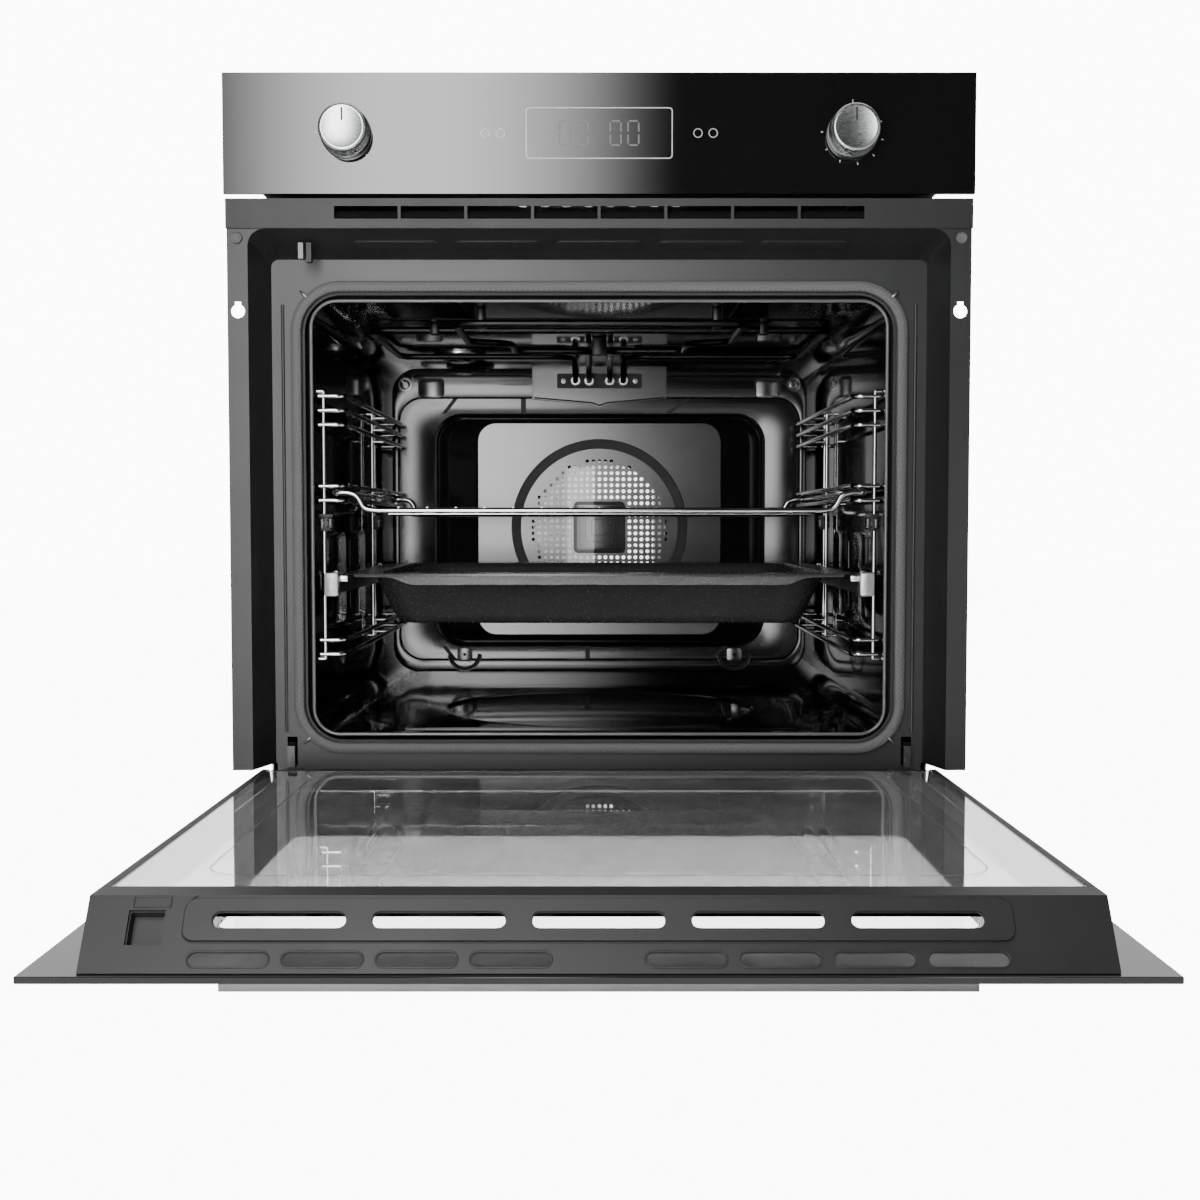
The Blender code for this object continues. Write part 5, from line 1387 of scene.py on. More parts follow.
    def build_hooks(self) -> None:
        """Half-round sockets in the lower rim, their hollows drawn black as painted shade, with a small
        square boss in each.
        """
        z = 92.5
        for side in Side:
            x = side.value * 148.2
            # The black arcs are painted shade in the sockets; the pale arcs are their edges.
            for name, radius, start, end, wire, finish in (
                ("rim_socket", 16.0, 180, 360, 2.0, BLACK_PAINT_SHADE_AND_REFLECTION),
                ("rim_socket_edge", 18.4, 184, 356, 0.7, BAFFLE_ENAMEL)
            ):
                turn = arc((x, z + 4), radius, start, end, 24)
                line = [(u, self.front + 0.1, v) for u, v in turn]
                fit(tube(f"{name}_{side.word}", line, wire), finish)
            pad(
                f"rim_boss_{side.word}", (x - 8, x + 8, z - 4, z + 11), (3, 6),
                (self.front - 1.6, self.front + 0.4), BAFFLE_ENAMEL, edge=0.9
            )
            pip = lathe(
                f"rim_boss_pip_{side.word}", [(0, 0.5), (1.2, 0.4), (1.8, 0), (0, -0.4)],
                (x, self.front - 1.6, z + 3.5), (0, -1, 0), 16
            )
            fit(pip, BLACK_PAINT_SHADE_AND_REFLECTION)

    def build_screws(self) -> None:
        """Broad slotted screws in the rim's upper corners."""
        for side in Side:
            slotted_screw(
                f"baffle_screw_{side.word}", (side.value * 212.0, self.front, 391.0), (0, -1, 0), 7.6,
                2.2, BAFFLE_ENAMEL, turn=0.9 * side.value
            )


def slotted_screw(
    name: str, place: Place, axis: Place, radius: float, height: float, finish: Finish, turn: float
) -> None:
    """A pan-head screw with a washer face and a driver slot.

    Args:
        name: the piece's name.
        place: where its head meets the sheet.
        axis: the way it faces.
        radius: its washer face's radius.
        height: how far its head stands out.
        finish: its surface.
        turn: the slot's angle in radians.
    """
    head = radius * 0.72
    piece = lathe(
        name,
        [
            (0, height), (head * 0.6, height), (head * 0.92, height * 0.82), (head, height * 0.5),
            (head, height * 0.32), (radius * 0.98, height * 0.26), (radius, height * 0.1), (radius, -0.1),
            (0, -0.1)
        ],
        place, axis, 32
    )
    slot = block(
        "slot_cutter", (-head * 1.3, -head * 0.13, height * 0.45), (head * 1.3, head * 0.13, height + 3),
        0
    )
    aim = Vector(axis).to_track_quat("Z", "Y").to_matrix().to_4x4()
    slot.matrix_world = (Matrix.Translation(Vector(place) * MM) @ aim @ Matrix.Rotation(turn, 4, "Z"))
    fit(cut(piece, slot), finish)


@dataclass
class Elements:
    """Grill and top heating loops, their lead plate and the bottom and ring elements."""

    radius: float = 3.2
    rear: float = 504.0
    ceiling: float = 422.8
    leads: tuple[float, ...] = (-25.9, -11.2, 11.2, 25.9)

    def build(self) -> None:
        """Make every loop and what holds it."""
        grill, upper = 408.5, 416.0
        drop = grill - 14
        right = [
            (25.9, self.rear, drop), (25.9, 438, drop), (25.9, 420, upper), (37.9, 400, upper),
            (210, 400, upper), (210, 177, upper)
        ]
        self.loop("upper_element_loop", right, 16, "upper_element")
        right = [
            (11.2, self.rear, drop), (11.2, 438, drop), (11.2, 400, grill), (11.2, 280, grill),
            (82, 280, grill), (82, 222, grill), (95, 210, grill), (121.8, 200, grill), (121.8, 76, grill),
            (108, 70.4, grill)
        ]
        self.loop("grill_element_loop", right, 12, "grill_element")
        z = 64.5 - 3 - 1.2 - 3.25 - 1.5
        right = [(16, 475, z), (16, 380, z), (149, 380, z), (149, 121, z), (30, 121, z), (30, 250, z)]
        self.loop("bottom_element_loop", right, 10, "bottom_element")
        centre = 235.6
        round_loop = [(x, 474.0, z) for x, z in arc((0, centre), 95.9, -80.4, 260.4, 64)]
        ends = [(side.value * 16, 506.0, round_loop[0][2]) for side in (Side.RIGHT, Side.LEFT)]
        ring = tube("ring_element_loop", [ends[0], *round_loop, ends[1]], self.radius)
        fit(ring, HEATER_SHEATH, Body.CABINET, "ring_element")
        self.build_bracket()
        self.build_clips()

    def loop(self, name: str, right: list[Place], bend: float, node: str) -> None:
        """Make one loop from its right half.

        Args:
            name: the piece's name.
            right: its right half's corners.
            bend: how far from each corner a bend starts.
            node: the frame's node that it stands for.
        """
        path = right + [(-x, y, z) for x, y, z in reversed(right)]
        fit(tube(name, path, self.radius, bend), HEATER_SHEATH, Body.CABINET, node)

    def build_bracket(self) -> None:
        """Folded plate over the leads, with the black terminal plate and its screws."""
        low, high = node_box("grill_bracket")
        y = low.y
        half = high.x
        foot = low.z
        outline = [
            (-half, high.z), (-half, foot + 9), (-7, foot + 3.2), (-3.5, foot + 0.6), (0, foot + 0.1),
            (3.5, foot + 0.6), (7, foot + 3.2), (half, foot + 9), (half, high.z)
        ]
        drop = 394.5
        holes = [arc((x, drop), 3.75, 0, 330, 11) for x in self.leads]
        plate = slab("lead_plate", [outline, *holes], y, high.y)
        folds = []
        for side in Side:
            x = side.span(half - 1.4, half)
            folds.append(block("fold", (x[0], y, foot + 9), (x[1], y + 5.5, high.z), 0.5))
        piece = merged("lead_plate_folded", [plate, *folds])
        fit(piece, BAFFLE_ENAMEL, Body.CABINET, "grill_bracket")
        # A black line along the plate's lower edge, as painted shade under it.
        lip = [
            (-half + 2, y + 0.2, foot + 10.2), (-7, y + 0.2, foot + 4.6), (0, y + 0.2, foot + 1.4),
            (7, y + 0.2, foot + 4.6), (half - 2, y + 0.2, foot + 10.2)
        ]
        fit(tube("lead_plate_rolled_edge", lip, 0.9, 3), BLACK_PAINT_SHADE_AND_REFLECTION)
        terminal = slab("lead_terminal_plate", [rounded(-46, 46, 386.5, 402.5, 2, 4), *holes], y - 0.8, y)
        fit(terminal, BLACK_PAINT_SHADE_AND_REFLECTION)
        for side in Side:
            slotted_screw(
                f"terminal_screw_{side.word}", (side.value * 39, y - 0.8, 394.5), (0, -1, 0), 2.6, 1.2,
                HINGE_STEEL, turn=0.3
            )
        for i, x in enumerate(self.leads):
            collar = lathe(
                f"lead_collar_{i + 1}",
                [(3.25, -4), (4.6, -4), (4.9, -3.4), (4.9, -0.9), (5.6, -0.6), (5.6, 0), (3.25, 0)],
                (x, y - 0.6, drop), (0, 1, 0), 24
            )
            fit(collar, RAIL_STEEL)

    def build_clips(self) -> None:
        """Strip clips that hang the loops from the ceiling."""
        for name, x, y, half in (
            ("middle", 0, 286, 16), ("left", -150, 177, 9), ("right", 150, 177, 9),
            ("front_left", -100, 76, 9), ("front_right", 100, 76, 9)
        ):
            strap = block(
                f"element_clip_{name}",
                (x - half * 0.45, y - 5, 404.6 if name != "left" and name != "right" else 411.8),
                (x + half * 0.45, y + 5, self.ceiling - 0.2), 1.0
            )
            fit(strap, HEATER_SHEATH)
        for side in Side:
            arm = slab(
                f"element_clip_arm_{side.word}",
                [
                    [
                        (side.value * 7, 282), (side.value * 34, 274), (side.value * 38, 277),
                        (side.value * 38, 297), (side.value * 34, 300), (side.value * 7, 292)
                    ]
                ],
                411.6, 413.0, Plane.FLAT, 0.4
            )
            fit(arm, HEATER_SHEATH)


@dataclass
class Fittings:
    """Lamp, temperature probe, side racks and their guide clips."""

    wall: float = 235.3
    inner: float = 213.8
    upright: float = 231.3
    front: float = 58.0
    rear: float = 430.0
    levels: tuple[float, ...] = (141.6, 129.6, 271.3, 259.3, 346.6, 334.6, 322.6)
    wire: float = 2.2
    rod: float = 1.8

    def build(self) -> None:
        """Make the fittings on both sides."""
        for side in Side:
            self.build_rack(side)
            self.build_clips(side)
        self.build_lamp()
        self.build_probe()

    def build_rack(self, side: Side) -> None:
        """A chromed ladder: uprights, bent runners and the stubs that tie them."""
        s = side.value
        parts = []
        for y in (self.front, self.front + 275, self.front + 290):
            path = [(s * self.upright, y, 125.6), (s * self.upright, y, 350.6)]
            parts.append(tube("upright", path, self.rod))
        for z in self.levels:
            path = [
                (s * self.wall, self.front, z), (s * self.inner, self.front, z),
                (s * self.inner, self.rear, z), (s * self.wall, self.rear, z)
            ]
            parts.append(tube("runner", path, self.wire, 8))
            for y in (self.front + 275, self.front + 290):
                path = [(s * self.upright, y, z), (s * self.inner, y, z)]
                parts.append(tube("stub", path, self.rod))
        for y in (self.front, self.front + 275):
            for z in (125.6, 350.6):
                path = [(s * self.upright, y, z), (s * (self.wall + 1.5), y, z)]
                parts.append(tube("foot", path, self.rod))
        rack = merged(f"rack_{side.word}", parts)
        fit(rack, CHROME_WIRE, Body.CABINET, f"side_rack_{side.word}")

    def build_clips(self, side: Side) -> None:
        """Black guide clips with a dull steel roller on each side, front and rear."""
        s = side.value
        for name, y in (("front", self.front), ("rear", self.front + 282)):
            z = 240.5
            x = side.span(self.upright - 6.5, self.upright + 3.5)
            body = block(
                f"guide_clip_{name}_{side.word}", (x[0], y - 3.6, z - 7), (x[1], y + 3.6, z + 5), 1.6
            )
            ear = block("ear", (x[0] - 1, y - 2, z + 4), (x[1] + 1, y + 2, z + 7.5), 1.2)
            fit(merged(f"guide_clip_{name}_{side.word}", [body, ear]), BLACK_PLASTIC)
            for tag, offset in (("a", -8.2), ("b", 5.2)):
                roller = lathe(
                    f"guide_roller_{name}_{side.word}_{tag}",
                    [
                        (0, 4.4), (2.2, 4.4), (3.2, 3.6), (3.4, 2.2), (2.6, 1.8), (2.6, -1.8),
                        (3.4, -2.2), (3.2, -3.6), (2.2, -4.4), (0, -4.4)
                    ],
                    (s * (self.upright + offset * 0.5 - 1.2), y - 1.5, z - 0.6), (0, 0, 1), 20
                )
                fit(roller, LATCH_STEEL)

    def build_lamp(self) -> None:
        """Domed lamp lens in a bright threaded ring."""
        centre = (-150.0, 430.0, 422.5)
        lens = lathe(
            "lamp_glass",
            [
                (24.6, 0), (24.4, -1.6), (21, -5), (16, -8), (9.5, -10.2), (0, -10.8), (0, -9.3),
                (9, -8.8), (15, -6.8), (19.6, -4), (22.4, 0)
            ],
            centre, (0, 0, 1)
        )
        fit(lens, CLEAR_GLASS, Body.CABINET, "lamp_lens")
        ring = lathe(
            "lamp_ring", [(24.9, 0), (24.9, -2.2), (25.6, -3.0), (27, -3.0), (27.8, -2.2), (28, 0)],
            centre, (0, 0, 1)
        )
        fit(ring, RAIL_STEEL)
        bulb = lathe(
            "lamp_bulb", [(0, -7.4), (3.2, -7), (5.6, -5), (6.2, -2.4), (6.2, -0.3), (0, -0.3)], centre,
            (0, 0, 1), 24
        )
        fit(bulb, CERAMIC)

    def build_probe(self) -> None:
        """Temperature probe: a closed tube on a thinner stem."""
        low, high = node_box("temperature_probe")
        x, z = (low.x + high.x) / 2, (low.z + high.z) / 2
        probe = lathe(
            "probe_tube",
            [(0, 0), (1.1, 0.2), (1.7, 0.9), (1.9, 2.2), (1.9, 60), (1.5, 60.6), (1.5, 73), (0, 73)],
            (x, low.y, z), (0, 1, 0), 20
        )
        fit(probe, CHROME_WIRE, Body.CABINET, "temperature_probe")


@dataclass
class Shelf:
    """Chromed wire shelf that hangs below its side rods."""

    side: float = 221.3
    end: float = 193.3
    top: float = 265.7
    low: float = 250.7
    front: float = 50.0
    rear: float = 420.0
    rod: float = 2.5
    wire: float = 1.5
    wires: int = 15
    pitch: float = 24.0

    def build(self) -> None:
        """Make the frame, its two cross rods and the grid."""
        parts = []
        path = []
        for y, way in ((self.front, 1), (self.rear, -1)):
            half = [
                (self.side, self.top), (self.side - 12, self.top), (self.side - 19, self.top - 2.5),
                (self.end + 3.5, self.low + 1.6), (self.end - 5, self.low)
            ]
            path += [(-way * x, y, z) for x, z in half]
            path += [(way * x, y, z) for x, z in reversed(half)]
        parts.append(tube("frame", path, self.rod, 4.5, closed=True, rings=4))
        z = self.low - 2.2
        for y in (self.front + 95, self.rear - 95):
            parts.append(tube("cross_rod", [(4 - self.end, y, z), (self.end - 4, y, z)], 2.0))
        z = self.low + 0.2
        for i in range(self.wires):
            x = (i - (self.wires - 1) / 2) * self.pitch
            path = [
                (x, self.front + 0.6, z + 1.2), (x, self.front + 5, z + 0.8), (x, self.front + 12, z),
                (x, self.rear - 12, z), (x, self.rear - 0.6, z)
            ]
            parts.append(tube("grid_wire", path, self.wire, 4))
        shelf = merged("shelf_wirework", parts)
        fit(shelf, CHROME_WIRE, Body.SHELF, "wire_shelf")


@dataclass
class TrayAndRails:
    """Deep tray on telescopic rails."""

    half: float = 217.5
    front: float = 50.0
    rear: float = 418.0
    rim: float = 198.2
    depth: float = 45.0
    sheet: float = 1.2
    rim_width: float = 21.0
    slope: float = 20.0

    def build(self) -> None:
        """Make the tray and both rails."""
        self.build_tray()
        for side in Side:
            self.build_fixed_rail(side)
            self.build_moving_rail(side)

    def ring(self, inset: float, radius: float, z: float) -> list[Place]:
        """The tray's outline an inset in from its rim's edge."""
        middle = (self.front + self.rear) / 2
        run = (self.rear - self.front) / 2
        outline = rounded(inset - self.half, self.half - inset, inset - run, run - inset, radius, 10)
        return [(x, y + middle, z) for x, y in outline]

    def build_tray(self) -> None:
        """Drawn tray with a flat rim, and a lip turned down along its front."""
        low = self.rim - self.depth
        foot = self.rim_width + self.slope
        t = self.sheet
        inside = [
            self.ring(foot + 12, 20, low + t), self.ring(foot + 5, 22, low + t + 0.6),
            self.ring(foot + 1, 24, low + t + 2.6), self.ring(foot - 2, 25, low + 8 + t),
            self.ring(self.rim_width + 4.2, 27.5, self.rim - 5.5),
            self.ring(self.rim_width + 2.6, 28.5, self.rim - 2.0),
            self.ring(self.rim_width + 1.0, 29.5, self.rim - 0.4),
            self.ring(self.rim_width - 1.2, 30, self.rim), self.ring(6, 12, self.rim),
            self.ring(3.2, 13, self.rim - 0.15), self.ring(0.8, 13.6, self.rim - 0.15)
        ]
        outside = [
            self.ring(0.1, 14, self.rim - 0.6), self.ring(0.6, 13.8, self.rim - t),
            self.ring(self.rim_width, 30, self.rim - t),
            self.ring(self.rim_width + 2.6, 28.5, self.rim - 5), self.ring(foot - 2 - t, 26, low + 8),
            self.ring(foot, 24, low + 2.2), self.ring(foot + 4, 22, low + 0.4),
            self.ring(foot + 12, 20, low)
        ]
        bowl = loft("bowl", inside + outside)
        top = self.rim - 0.2
        h = self.half
        lip = [
            (12 - h, top), (12 - h, top - 3), (39 - h, top - 3.3), (45 - h, top - 4.2),
            (56 - h, top - 8.8), (61 - h, top - 9.6)
        ]
        lip += [(-x, z) for x, z in reversed(lip)]
        apron = slab("apron", [lip], self.front + 0.2, self.front + 1.4, edge=0.35)
        fit(merged("deep_tray", [bowl, apron]), TRAY_ENAMEL, Body.TRAY, "baking_tray")

    def build_fixed_rail(self, side: Side) -> None:
        """Rolled channel with two hooks that hang it on the rack."""
        low, high = node_box(f"rail_fixed_{side.word}")
        wall = (low.x, low.x + 1.4) if side is Side.LEFT else (high.x - 1.4, high.x)
        parts = [block("web", (wall[0], low.y, low.z), (wall[1], high.y, high.z), 0.4)]
        for z in ((low.z, low.z + 1.4), (high.z - 1.4, high.z)):
            parts.append(block("edge", (low.x, low.y, z[0]), (high.x, high.y, z[1]), 0.4))
        rail = merged(f"fixed_channel_{side.word}", parts)
        fit(rail, RAIL_STEEL, Body.CABINET, f"rail_fixed_{side.word}")
        middle = (low.x + high.x) / 2
        for name, y in (("front", low.y + 44), ("rear", high.y - 60)):
            hook = tube(
                f"rail_hook_{name}_{side.word}",
                [
                    (middle, y, high.z - 0.6), (middle, y, high.z + 2.0),
                    (middle + side.value * 3.2, y, high.z + 2.4),
                    (middle + side.value * 3.6, y, low.z + 3.0)
                ],
                0.9, 1.6
            )
            fit(hook, RAIL_STEEL)

    def build_moving_rail(self, side: Side) -> None:
        """Inner rail with its tray ledge and the bright cap on its front end."""
        low, high = node_box(f"rail_inner_{side.word}")
        s = side.value
        inner = 224.2
        web = side.span(inner - 1.6, inner + 3.3)
        ledge = side.span(self.half - 6, inner - 0.3)
        parts = [
            block("web", (web[0], 53.2, 181.8), (web[1], high.y, 194.2), 0.5),
            block("ledge", (ledge[0], 54, 191.2), (ledge[1], high.y - 1, 196), 0.5)
        ]
        rail = merged(f"sliding_rail_{side.word}", parts)
        fit(rail, RAIL_STEEL, Body.TRAY, f"rail_inner_{side.word}")
        outer = s * (high.x if s > 0 else low.x)
        near = self.half + 0.3
        x = side.span(near, outer)
        cap = block(f"rail_cap_{side.word}", (x[0], low.y, low.z), (x[1], 55, high.z), 1.9)
        fit(cap, CAP_METAL, Body.TRAY)
        recess = side.span(near + 2.6, outer - 2.6)
        pad(
            f"rail_cap_face_{side.word}", (*recess, low.z + 3.5, high.z - 3.5), (2, 5),
            (low.y, low.y + 1.2), CAP_METAL, Body.TRAY, edge=0.5
        )


@dataclass
class Door:
    """Door: the printed line, seals and outer pane of its glass, and its trim's details."""

    slope_top: Flat = (-440.5, 45.3)
    slope_foot: Flat = (-464.0, 10.5)
    glass_top: float = 45.3
    line_width: float = 0.55
    half: float = 262.2

    def build(self) -> None:
        """Make every door detail."""
        self.build_printed_window()
        self.build_edge_seal()
        self.build_outer_pane()
        self.build_trim_rims()
        self.build_trim_relief()
        self.build_blocks()

    def build_printed_window(self) -> None:
        """Thin printed line round the inner glass's window."""
        z = self.glass_top + 0.02
        outlines = [
            rounded(-221 + inset, 221 - inset, -396 + inset, -69 - inset, 26 - inset, 10)
            for inset in (0.0, self.line_width)
        ]
        line = slab("inner_glass_line_outer", outlines, z, z + 0.08, Plane.FLAT)
        fit(line, PRINTED_DARK, Body.DOOR)

    def build_edge_seal(self) -> None:
        """Dark beads of silicone along the inner glass's long edges."""
        low, high = node_box("inner_glass")
        for side in Side:
            x = side.value * (self.half + 0.1)
            bead = tube(
                f"glass_edge_bead_{side.word}",
                [(x, low.y + 3, high.z - 0.2), (x, high.y - 3, high.z - 0.2)], 0.5
            )
            fit(bead, SEAL_BLACK, Body.DOOR)

    def build_outer_pane(self) -> None:
        """The outer glass: black where its border is printed, clear in the window."""
        low, high = node_box("outer_glass")
        outline = [(low.x, low.y), (high.x, low.y), (high.x, high.y), (low.x, high.y)]
        window = rounded(-218, 218, low.y + 92, high.y - 135, 12, 10)
        border = slab("outer_glass_border", [outline, window], low.z, high.z, Plane.FLAT)
        border = softened(border, 0.5, 1)
        fit(border, BLACK_GLASS, Body.DOOR, "outer_glass")
        pane = slab("outer_glass_window", [window], low.z + 0.05, high.z - 0.05, Plane.FLAT)
        fit(pane, OUTER_GLASS, Body.DOOR)
        # A matt black sheet on the glass under the trim, as painted shade.
        pad(
            "trim_floor_sheet", (-250, 250, low.y + 6, low.y + 88), (3, 4), (high.z + 0.1, high.z + 0.5),
            BLACK_PAINT_SHADE_AND_REFLECTION, Body.DOOR, Plane.FLAT
        )
        low, high = node_box("inner_glass")
        pad(
            "inner_glass_end_strip", (low.x + 0.5, high.x - 0.5, high.y - 3.4, high.y - 0.2), (0.6, 3),
            (high.z, high.z + 0.15), SEAL_BLACK, Body.DOOR, Plane.FLAT
        )

    def slope(self, v: float, height: float = 0.0) -> Flat:
        """Y and Z of a point on the trim's slanted face.

        Args:
            v: distance down the face from its upper edge.
            height: distance out from it.

        Returns:
            The point as the open door stands.
        """
        top = Vector(self.slope_top)
        run = (Vector(self.slope_foot) - top).normalized()
        out = Vector((run[1], -run[0]))
        spot = top + run * v + out * height
        return spot[0], spot[1]

    def on_slope(self, outline: Sequence[Flat], height: float) -> list[Place]:
        """Points of an outline in X and distance down the slanted face, at a height."""
        return [(u, *self.slope(v, height)) for u, v in outline]

    def line(
        self, name: str, outline: Sequence[Flat], height: float, radius: float, finish: Finish,
        closed: bool = True, bend: float = 0.0
    ) -> None:
        """A raised line on the slanted face.

        Args:
            name: the piece's name.
            outline: its run in X and distance down the face.
            height: how far out its middle lies.
            radius: its radius.
            finish: its surface.
            closed: whether it is a loop.
            bend: how far from each corner its bend starts.
        """
        run = self.on_slope(outline, height)
        fit(tube(name, run, radius, bend, closed), finish, Body.DOOR)

    def build_trim_rims(self) -> None:
        """Raised rims round the insert's openings and the lower slots."""
        for i in range(5):
            x = (i - 2) * 83.0
            rim = rounded(x - 35.2, x + 35.2, 9.1, 18.7, 4.75, 8)
            self.line(f"insert_rim_{i + 1}", rim, -0.35, 0.75, BLACK_PLASTIC)
        for side in Side:
            for i in range(4):
                x = side.value * (24.3 + 20.8 + i * 48.4)
                rim = rounded(x - 21.0, x + 21.0, 30.4, 38.8, 4.15, 8)
                self.line(f"slot_rim_{side.word}_{i + 1}", rim, -0.25, 0.7, BLACK_PLASTIC)

    def build_trim_relief(self) -> None:
        """The insert's edge step and lower crease as black lines of painted shade, and the notch and tub
        of the catch pocket.
        """
        step = rounded(-215.6, 215.6, 2.2, 25.5, 6.2, 8)
        fold = rounded(-209.5, 209.5, 6.0, 21.8, 6.4, 8)
        # The edge step and the lower crease are black lines of painted shade.
        self.line("insert_edge_step", step, -0.1, 0.6, BLACK_PAINT_SHADE_AND_REFLECTION)
        self.line("insert_inner_step", fold, 0.0, 0.55, BLACK_PLASTIC)
        under = [(-205.0, 22.7), (205.0, 22.7)]
        self.line("insert_lower_crease", under, 0.1, 0.45, BLACK_PAINT_SHADE_AND_REFLECTION, closed=False)
        for side in Side:
            edge = side.value * 213.5
            run = [(edge - side.value * 3.5, 0.3), (edge, 2.4), (edge, 6.0)]
            self.line(f"insert_upper_seam_{side.word}", run, 0.05, 0.5, BLACK_PAINT_SHADE_AND_REFLECTION, False, 1.5)
        notch = rounded(-243.0, -223.5, 0.8, 6.6, 0.8, 3)
        self.line("catch_notch_edge", notch, 0.1, 0.45, BLACK_PLASTIC)
        self.line("catch_notch_shade", notch, -0.1, 0.45, BLACK_PAINT_SHADE_AND_REFLECTION)
        left, right, top, foot = -245.2, -225.8, 8.0, 27.2
        wall = 0.8
        shape = rounded(left, right, top, foot, wall, 3)
        inset = rounded(left + wall, right - wall, top + wall, foot - wall, 0.6, 3)
        walls = ((shape, -2.0), (shape, -12.0), (shape, -12.8), (inset, -12.0), (inset, -2.0))
        for name, skins, looped in (
            ("catch_pocket_floor", walls, True),
            ("catch_pocket_floor_plate", ((inset, -9.0), (inset, -10.2)), False)
        ):
            tub = loft(name, [self.on_slope(*skin) for skin in skins], looped)
            fit(tub, BLACK_PLASTIC, Body.DOOR)

    def build_blocks(self) -> None:
        """Black corner covers over the hinges at the door's lower edge."""
        for side in Side:
            x = side.span(236.0, 249.4)
            cover = block(f"hinge_corner_{side.word}", (x[0], -32.2, 33.0), (x[1], -14.5, 45.2), 1.4)
            fit(cover, BLACK_PLASTIC, Body.DOOR)


@dataclass
class Controls:
    """Knobs, printed scales, display marks and the vent strip's louvre."""

    knob_x: float = 200.0
    middle: float = 547.75
    face: float = -7.3
    knob_radius: float = 20.0
    knob_length: float = 20.0

    def build(self) -> None:
        """Make the control details."""
        for side, body in ((Side.LEFT, Body.KNOB_LEFT), (Side.RIGHT, Body.KNOB_RIGHT)):
            self.build_knob(side, body)
            self.build_scale(side)
        self.build_display()
        self.build_strip()

    def build_knob(self, side: Side, body: Body) -> None:
        """A turned knob with a dished face, a finely grooved skirt and a pointer."""
        r, start = self.knob_radius, 0.8
        end = start + self.knob_length
        profile = [
            (0, end - 0.9), (r - 6.5, end - 0.8), (r - 4.2, end - 0.1), (r - 3.2, end),
            (r - 2.0, end - 0.5), (r - 1.2, end - 1.9)
        ]
        grooves = 9
        for i in range(grooves):
            z = end - 4.0 - i * 1.2
            out = r - 1.15 + 1.0 * (i + 1) / (grooves + 1)
            profile += [(out, z), (out - 0.3, z - 0.35), (out - 0.3, z - 0.6), (out, z - 0.9)]
        profile += [(r - 0.1, start + 1.2), (r - 0.02, start), (3.0, start), (3.0, -20), (0, -20)]
        centre = (side.value * self.knob_x, self.face, self.middle)
        knob = lathe(f"turned_knob_{side.word}", profile, centre, (0, -1, 0), 64)
        fit(knob, KNOB_METAL, body, f"knob_{side.word}")
        x, y = centre[0], self.face - end
        box = (x - 0.7, x + 0.7, self.middle + 5, self.middle + r - 3.4)
        span = (y + 0.35, y + 1.4)
        pad(f"knob_pointer_{side.word}", box, (0.6, 4), span, PRINTED_DARK_KNOB, body, edge=0.2)

    def build_scale(self, side: Side) -> None:
        """Short printed marks round each knob."""
        x = side.value * self.knob_x
        for i in range(9):
            a = math.radians(90 - 34 * i)
            inner, outer = self.knob_radius + 3.2, self.knob_radius + (6.2 if i == 0 else 5.0)
            across = Vector((-math.sin(a), math.cos(a))) * 0.35
            run = Vector((math.cos(a), math.sin(a)))
            base = Vector((x, self.middle))
            corners = [
                base + run * inner + across, base + run * outer + across, base + run * outer - across,
                base + run * inner - across
            ]
            mark = slab(
                f"scale_mark_{side.word}_{i + 1}", [[tuple(c) for c in corners]], self.face - 0.08,
                self.face + 0.02
            )
            fit(mark, PRINTED_PALE)

    def build_display(self) -> None:
        """Printed surround of the display, four unlit noughts and four touch keys."""
        span = (self.face - 0.06, self.face + 0.02)
        m = self.middle
        frame_line = slab(
            "display_surround",
            [rounded(-58, 58, m - 20, m + 20, 3, 6), rounded(-57.3, 57.3, m - 19.3, m + 19.3, 2.6, 6)],
            *span
        )
        fit(frame_line, PRINTED_PALE)
        for i, x in enumerate((-27, -13, 13, 27)):
            for j, dx, dz, wide, tall in (
                (1, 0, 9.4, 7, 1.3), (3, 0, -9.4, 7, 1.3), (4, -4.2, 4.7, 1.3, 7.4),
                (5, 4.2, 4.7, 1.3, 7.4), (6, -4.2, -4.7, 1.3, 7.4), (7, 4.2, -4.7, 1.3, 7.4)
            ):
                u, v = x + dx, m + dz
                box = (u - wide / 2, u + wide / 2, v - tall / 2, v + tall / 2)
                pad(f"display_segment_{i + 1}_{j}", box, (0.5, 3), span, DISPLAY_SEGMENT)
        for i, x in enumerate((-90, -78, 78, 90)):
            key = slab(
                f"touch_key_{i + 1}",
                [arc((x, m), 3.6, 0, 360, 24)[:-1], arc((x, m), 3.1, 0, 360, 24)[:-1]], *span
            )
            fit(key, PRINTED_PALE)

    def build_strip(self) -> None:
        """Sloping louvre behind the vent strip's slots."""
        low, high = node_box("vent_strip")
        louvre = loft(
            "vent_louvre",
            [
                [(-222, 2.0, 483.6), (222, 2.0, 483.6), (222, 2.8, 484.6), (-222, 2.8, 484.6)],
                [(-222, 9.0, 489.6), (222, 9.0, 489.6), (222, 9.8, 490.6), (-222, 9.8, 490.6)]
            ]
        )
        fit(louvre, BLACK_PLASTIC)
        edge = tube(
            "vent_strip_lower_edge",
            [(low.x + 0.8, low.y + 0.5, low.z + 0.5), (high.x - 0.8, low.y + 0.5, low.z + 0.5)], 0.5
        )
        fit(edge, BLACK_PLASTIC)


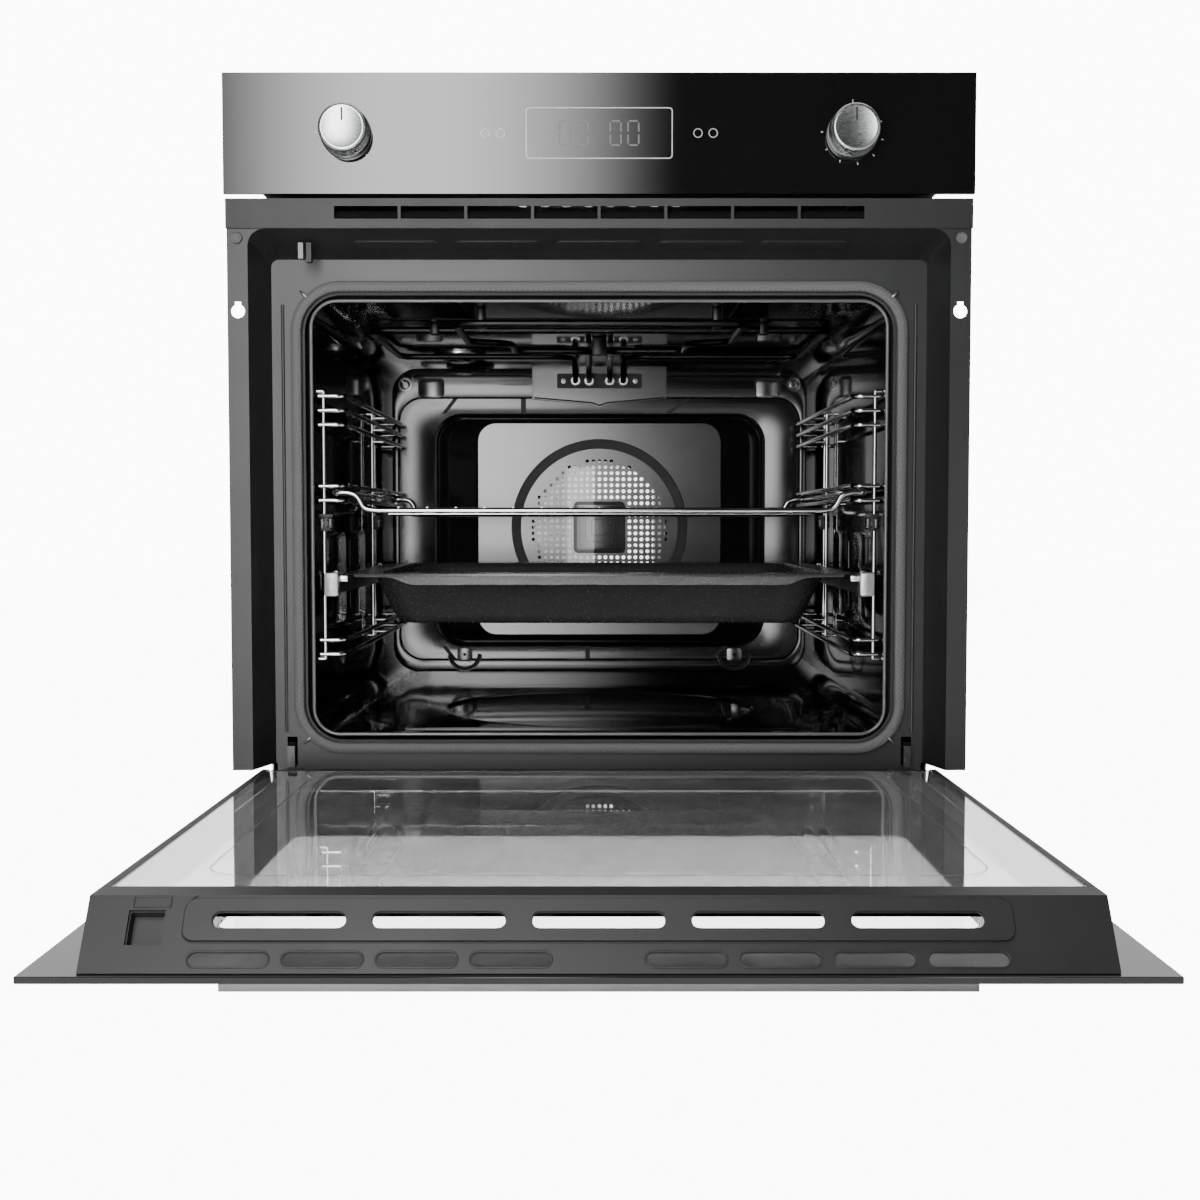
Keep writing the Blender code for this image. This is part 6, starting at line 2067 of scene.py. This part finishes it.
@dataclass
class Casing:
    """Screws, beads and ribs of the zinc-coated outside."""

    def build(self) -> None:
        """Make the outside's details."""
        self.build_rear()
        self.build_sides()
        self.build_top()

    def build_rear(self) -> None:
        """Screws round the rear cover, and its pressed beads."""
        low, high = node_box("rear_cover")
        y = high.y - 0.05
        for i, (x, z) in enumerate(
            [(x, z) for z in (18, high.z - 14) for x in (-255, -128, 0, 128, 255)]
            + [(x, z) for z in (200, 390) for x in (-255, 255)]
        ):
            slotted_screw(
                f"rear_screw_{i + 1}", (x, y, z), (0, 1, 0), 4.2, 1.2, HINGE_STEEL, turn=i * 0.7
            )
        for i, z in enumerate((70, 110, 300)):
            box = (-200, 200, z - 4, z + 4)
            pad(f"rear_bead_{i + 1}", box, (3.8, 8), (y - 0.4, y + 0.9), GALVANISED, edge=0.8)

    def build_sides(self) -> None:
        """Pressed beads and screws on both side panels."""
        for side in Side:
            low, high = node_box(f"side_panel_{side.word}")
            face = side.value * max(abs(low.x), abs(high.x))
            x = sorted((face, face + side.value * 0.9))
            for i, z in enumerate((90, 290, 490)):
                pad(
                    f"side_bead_{side.word}_{i + 1}", (90, 490, z - 4.5, z + 4.5), (4.3, 8),
                    (x[0] - 0.3, x[1]), GALVANISED, plane=Plane.ALONG, edge=0.7
                )
            for i, (y, z) in enumerate(((58, 30), (58, 560), (520, 30), (520, 560))):
                slotted_screw(
                    f"side_screw_{side.word}_{i + 1}", (face, y, z), (side.value, 0, 0), 4.2, 1.2,
                    HINGE_STEEL, turn=i * 0.9
                )

    def build_top(self) -> None:
        """Screws and two stiffening ribs on the top cover."""
        low, high = node_box("top_cover")
        z = high.z - 0.05
        for i, (x, y) in enumerate(((-258, 60), (258, 60), (-258, 525), (258, 525))):
            slotted_screw(f"top_screw_{i + 1}", (x, y, z), (0, 0, 1), 4.2, 1.2, HINGE_STEEL, turn=i * 0.8)
        for i, x in enumerate((-190, 190)):
            pad(
                f"top_rib_{i + 1}", (x - 5, x + 5, 90, 480), (4.8, 8), (z - 0.4, z + 0.9), GALVANISED,
                plane=Plane.FLAT, edge=0.8
            )


def dress_frame() -> None:
    """Give each of the frame's nodes its own finish, or that of its slot."""
    by_slot = {finish.slot: finish for finish in FINISHES}
    own = {
        "door_lock_hook": LATCH_STEEL, "hinge_claw_left": LATCH_STEEL, "hinge_claw_right": LATCH_STEEL,
        "door_stile_left": SEAL_BLACK, "door_stile_right": SEAL_BLACK
    }
    for name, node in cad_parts.items():
        for place in node.material_slots:
            finish = own.get(name, by_slot[place.material.name.split(".")[0]])
            place.material = finish.material()
            LOG.info("%s: %s", name, finish.name)


def main() -> None:
    """Build the scene in order."""
    logging.basicConfig(level=logging.INFO, format="%(message)s")
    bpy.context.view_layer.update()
    Studio().build()
    dress_frame()
    for assembly in (
        FrontFace(), MouthGasket(), CavityLiner(), FanBaffle(), Elements(), Fittings(), Shelf(),
        TrayAndRails(), Door(), Controls(), Casing()
    ):
        assembly.build()


if __name__ == "__main__":
    main()
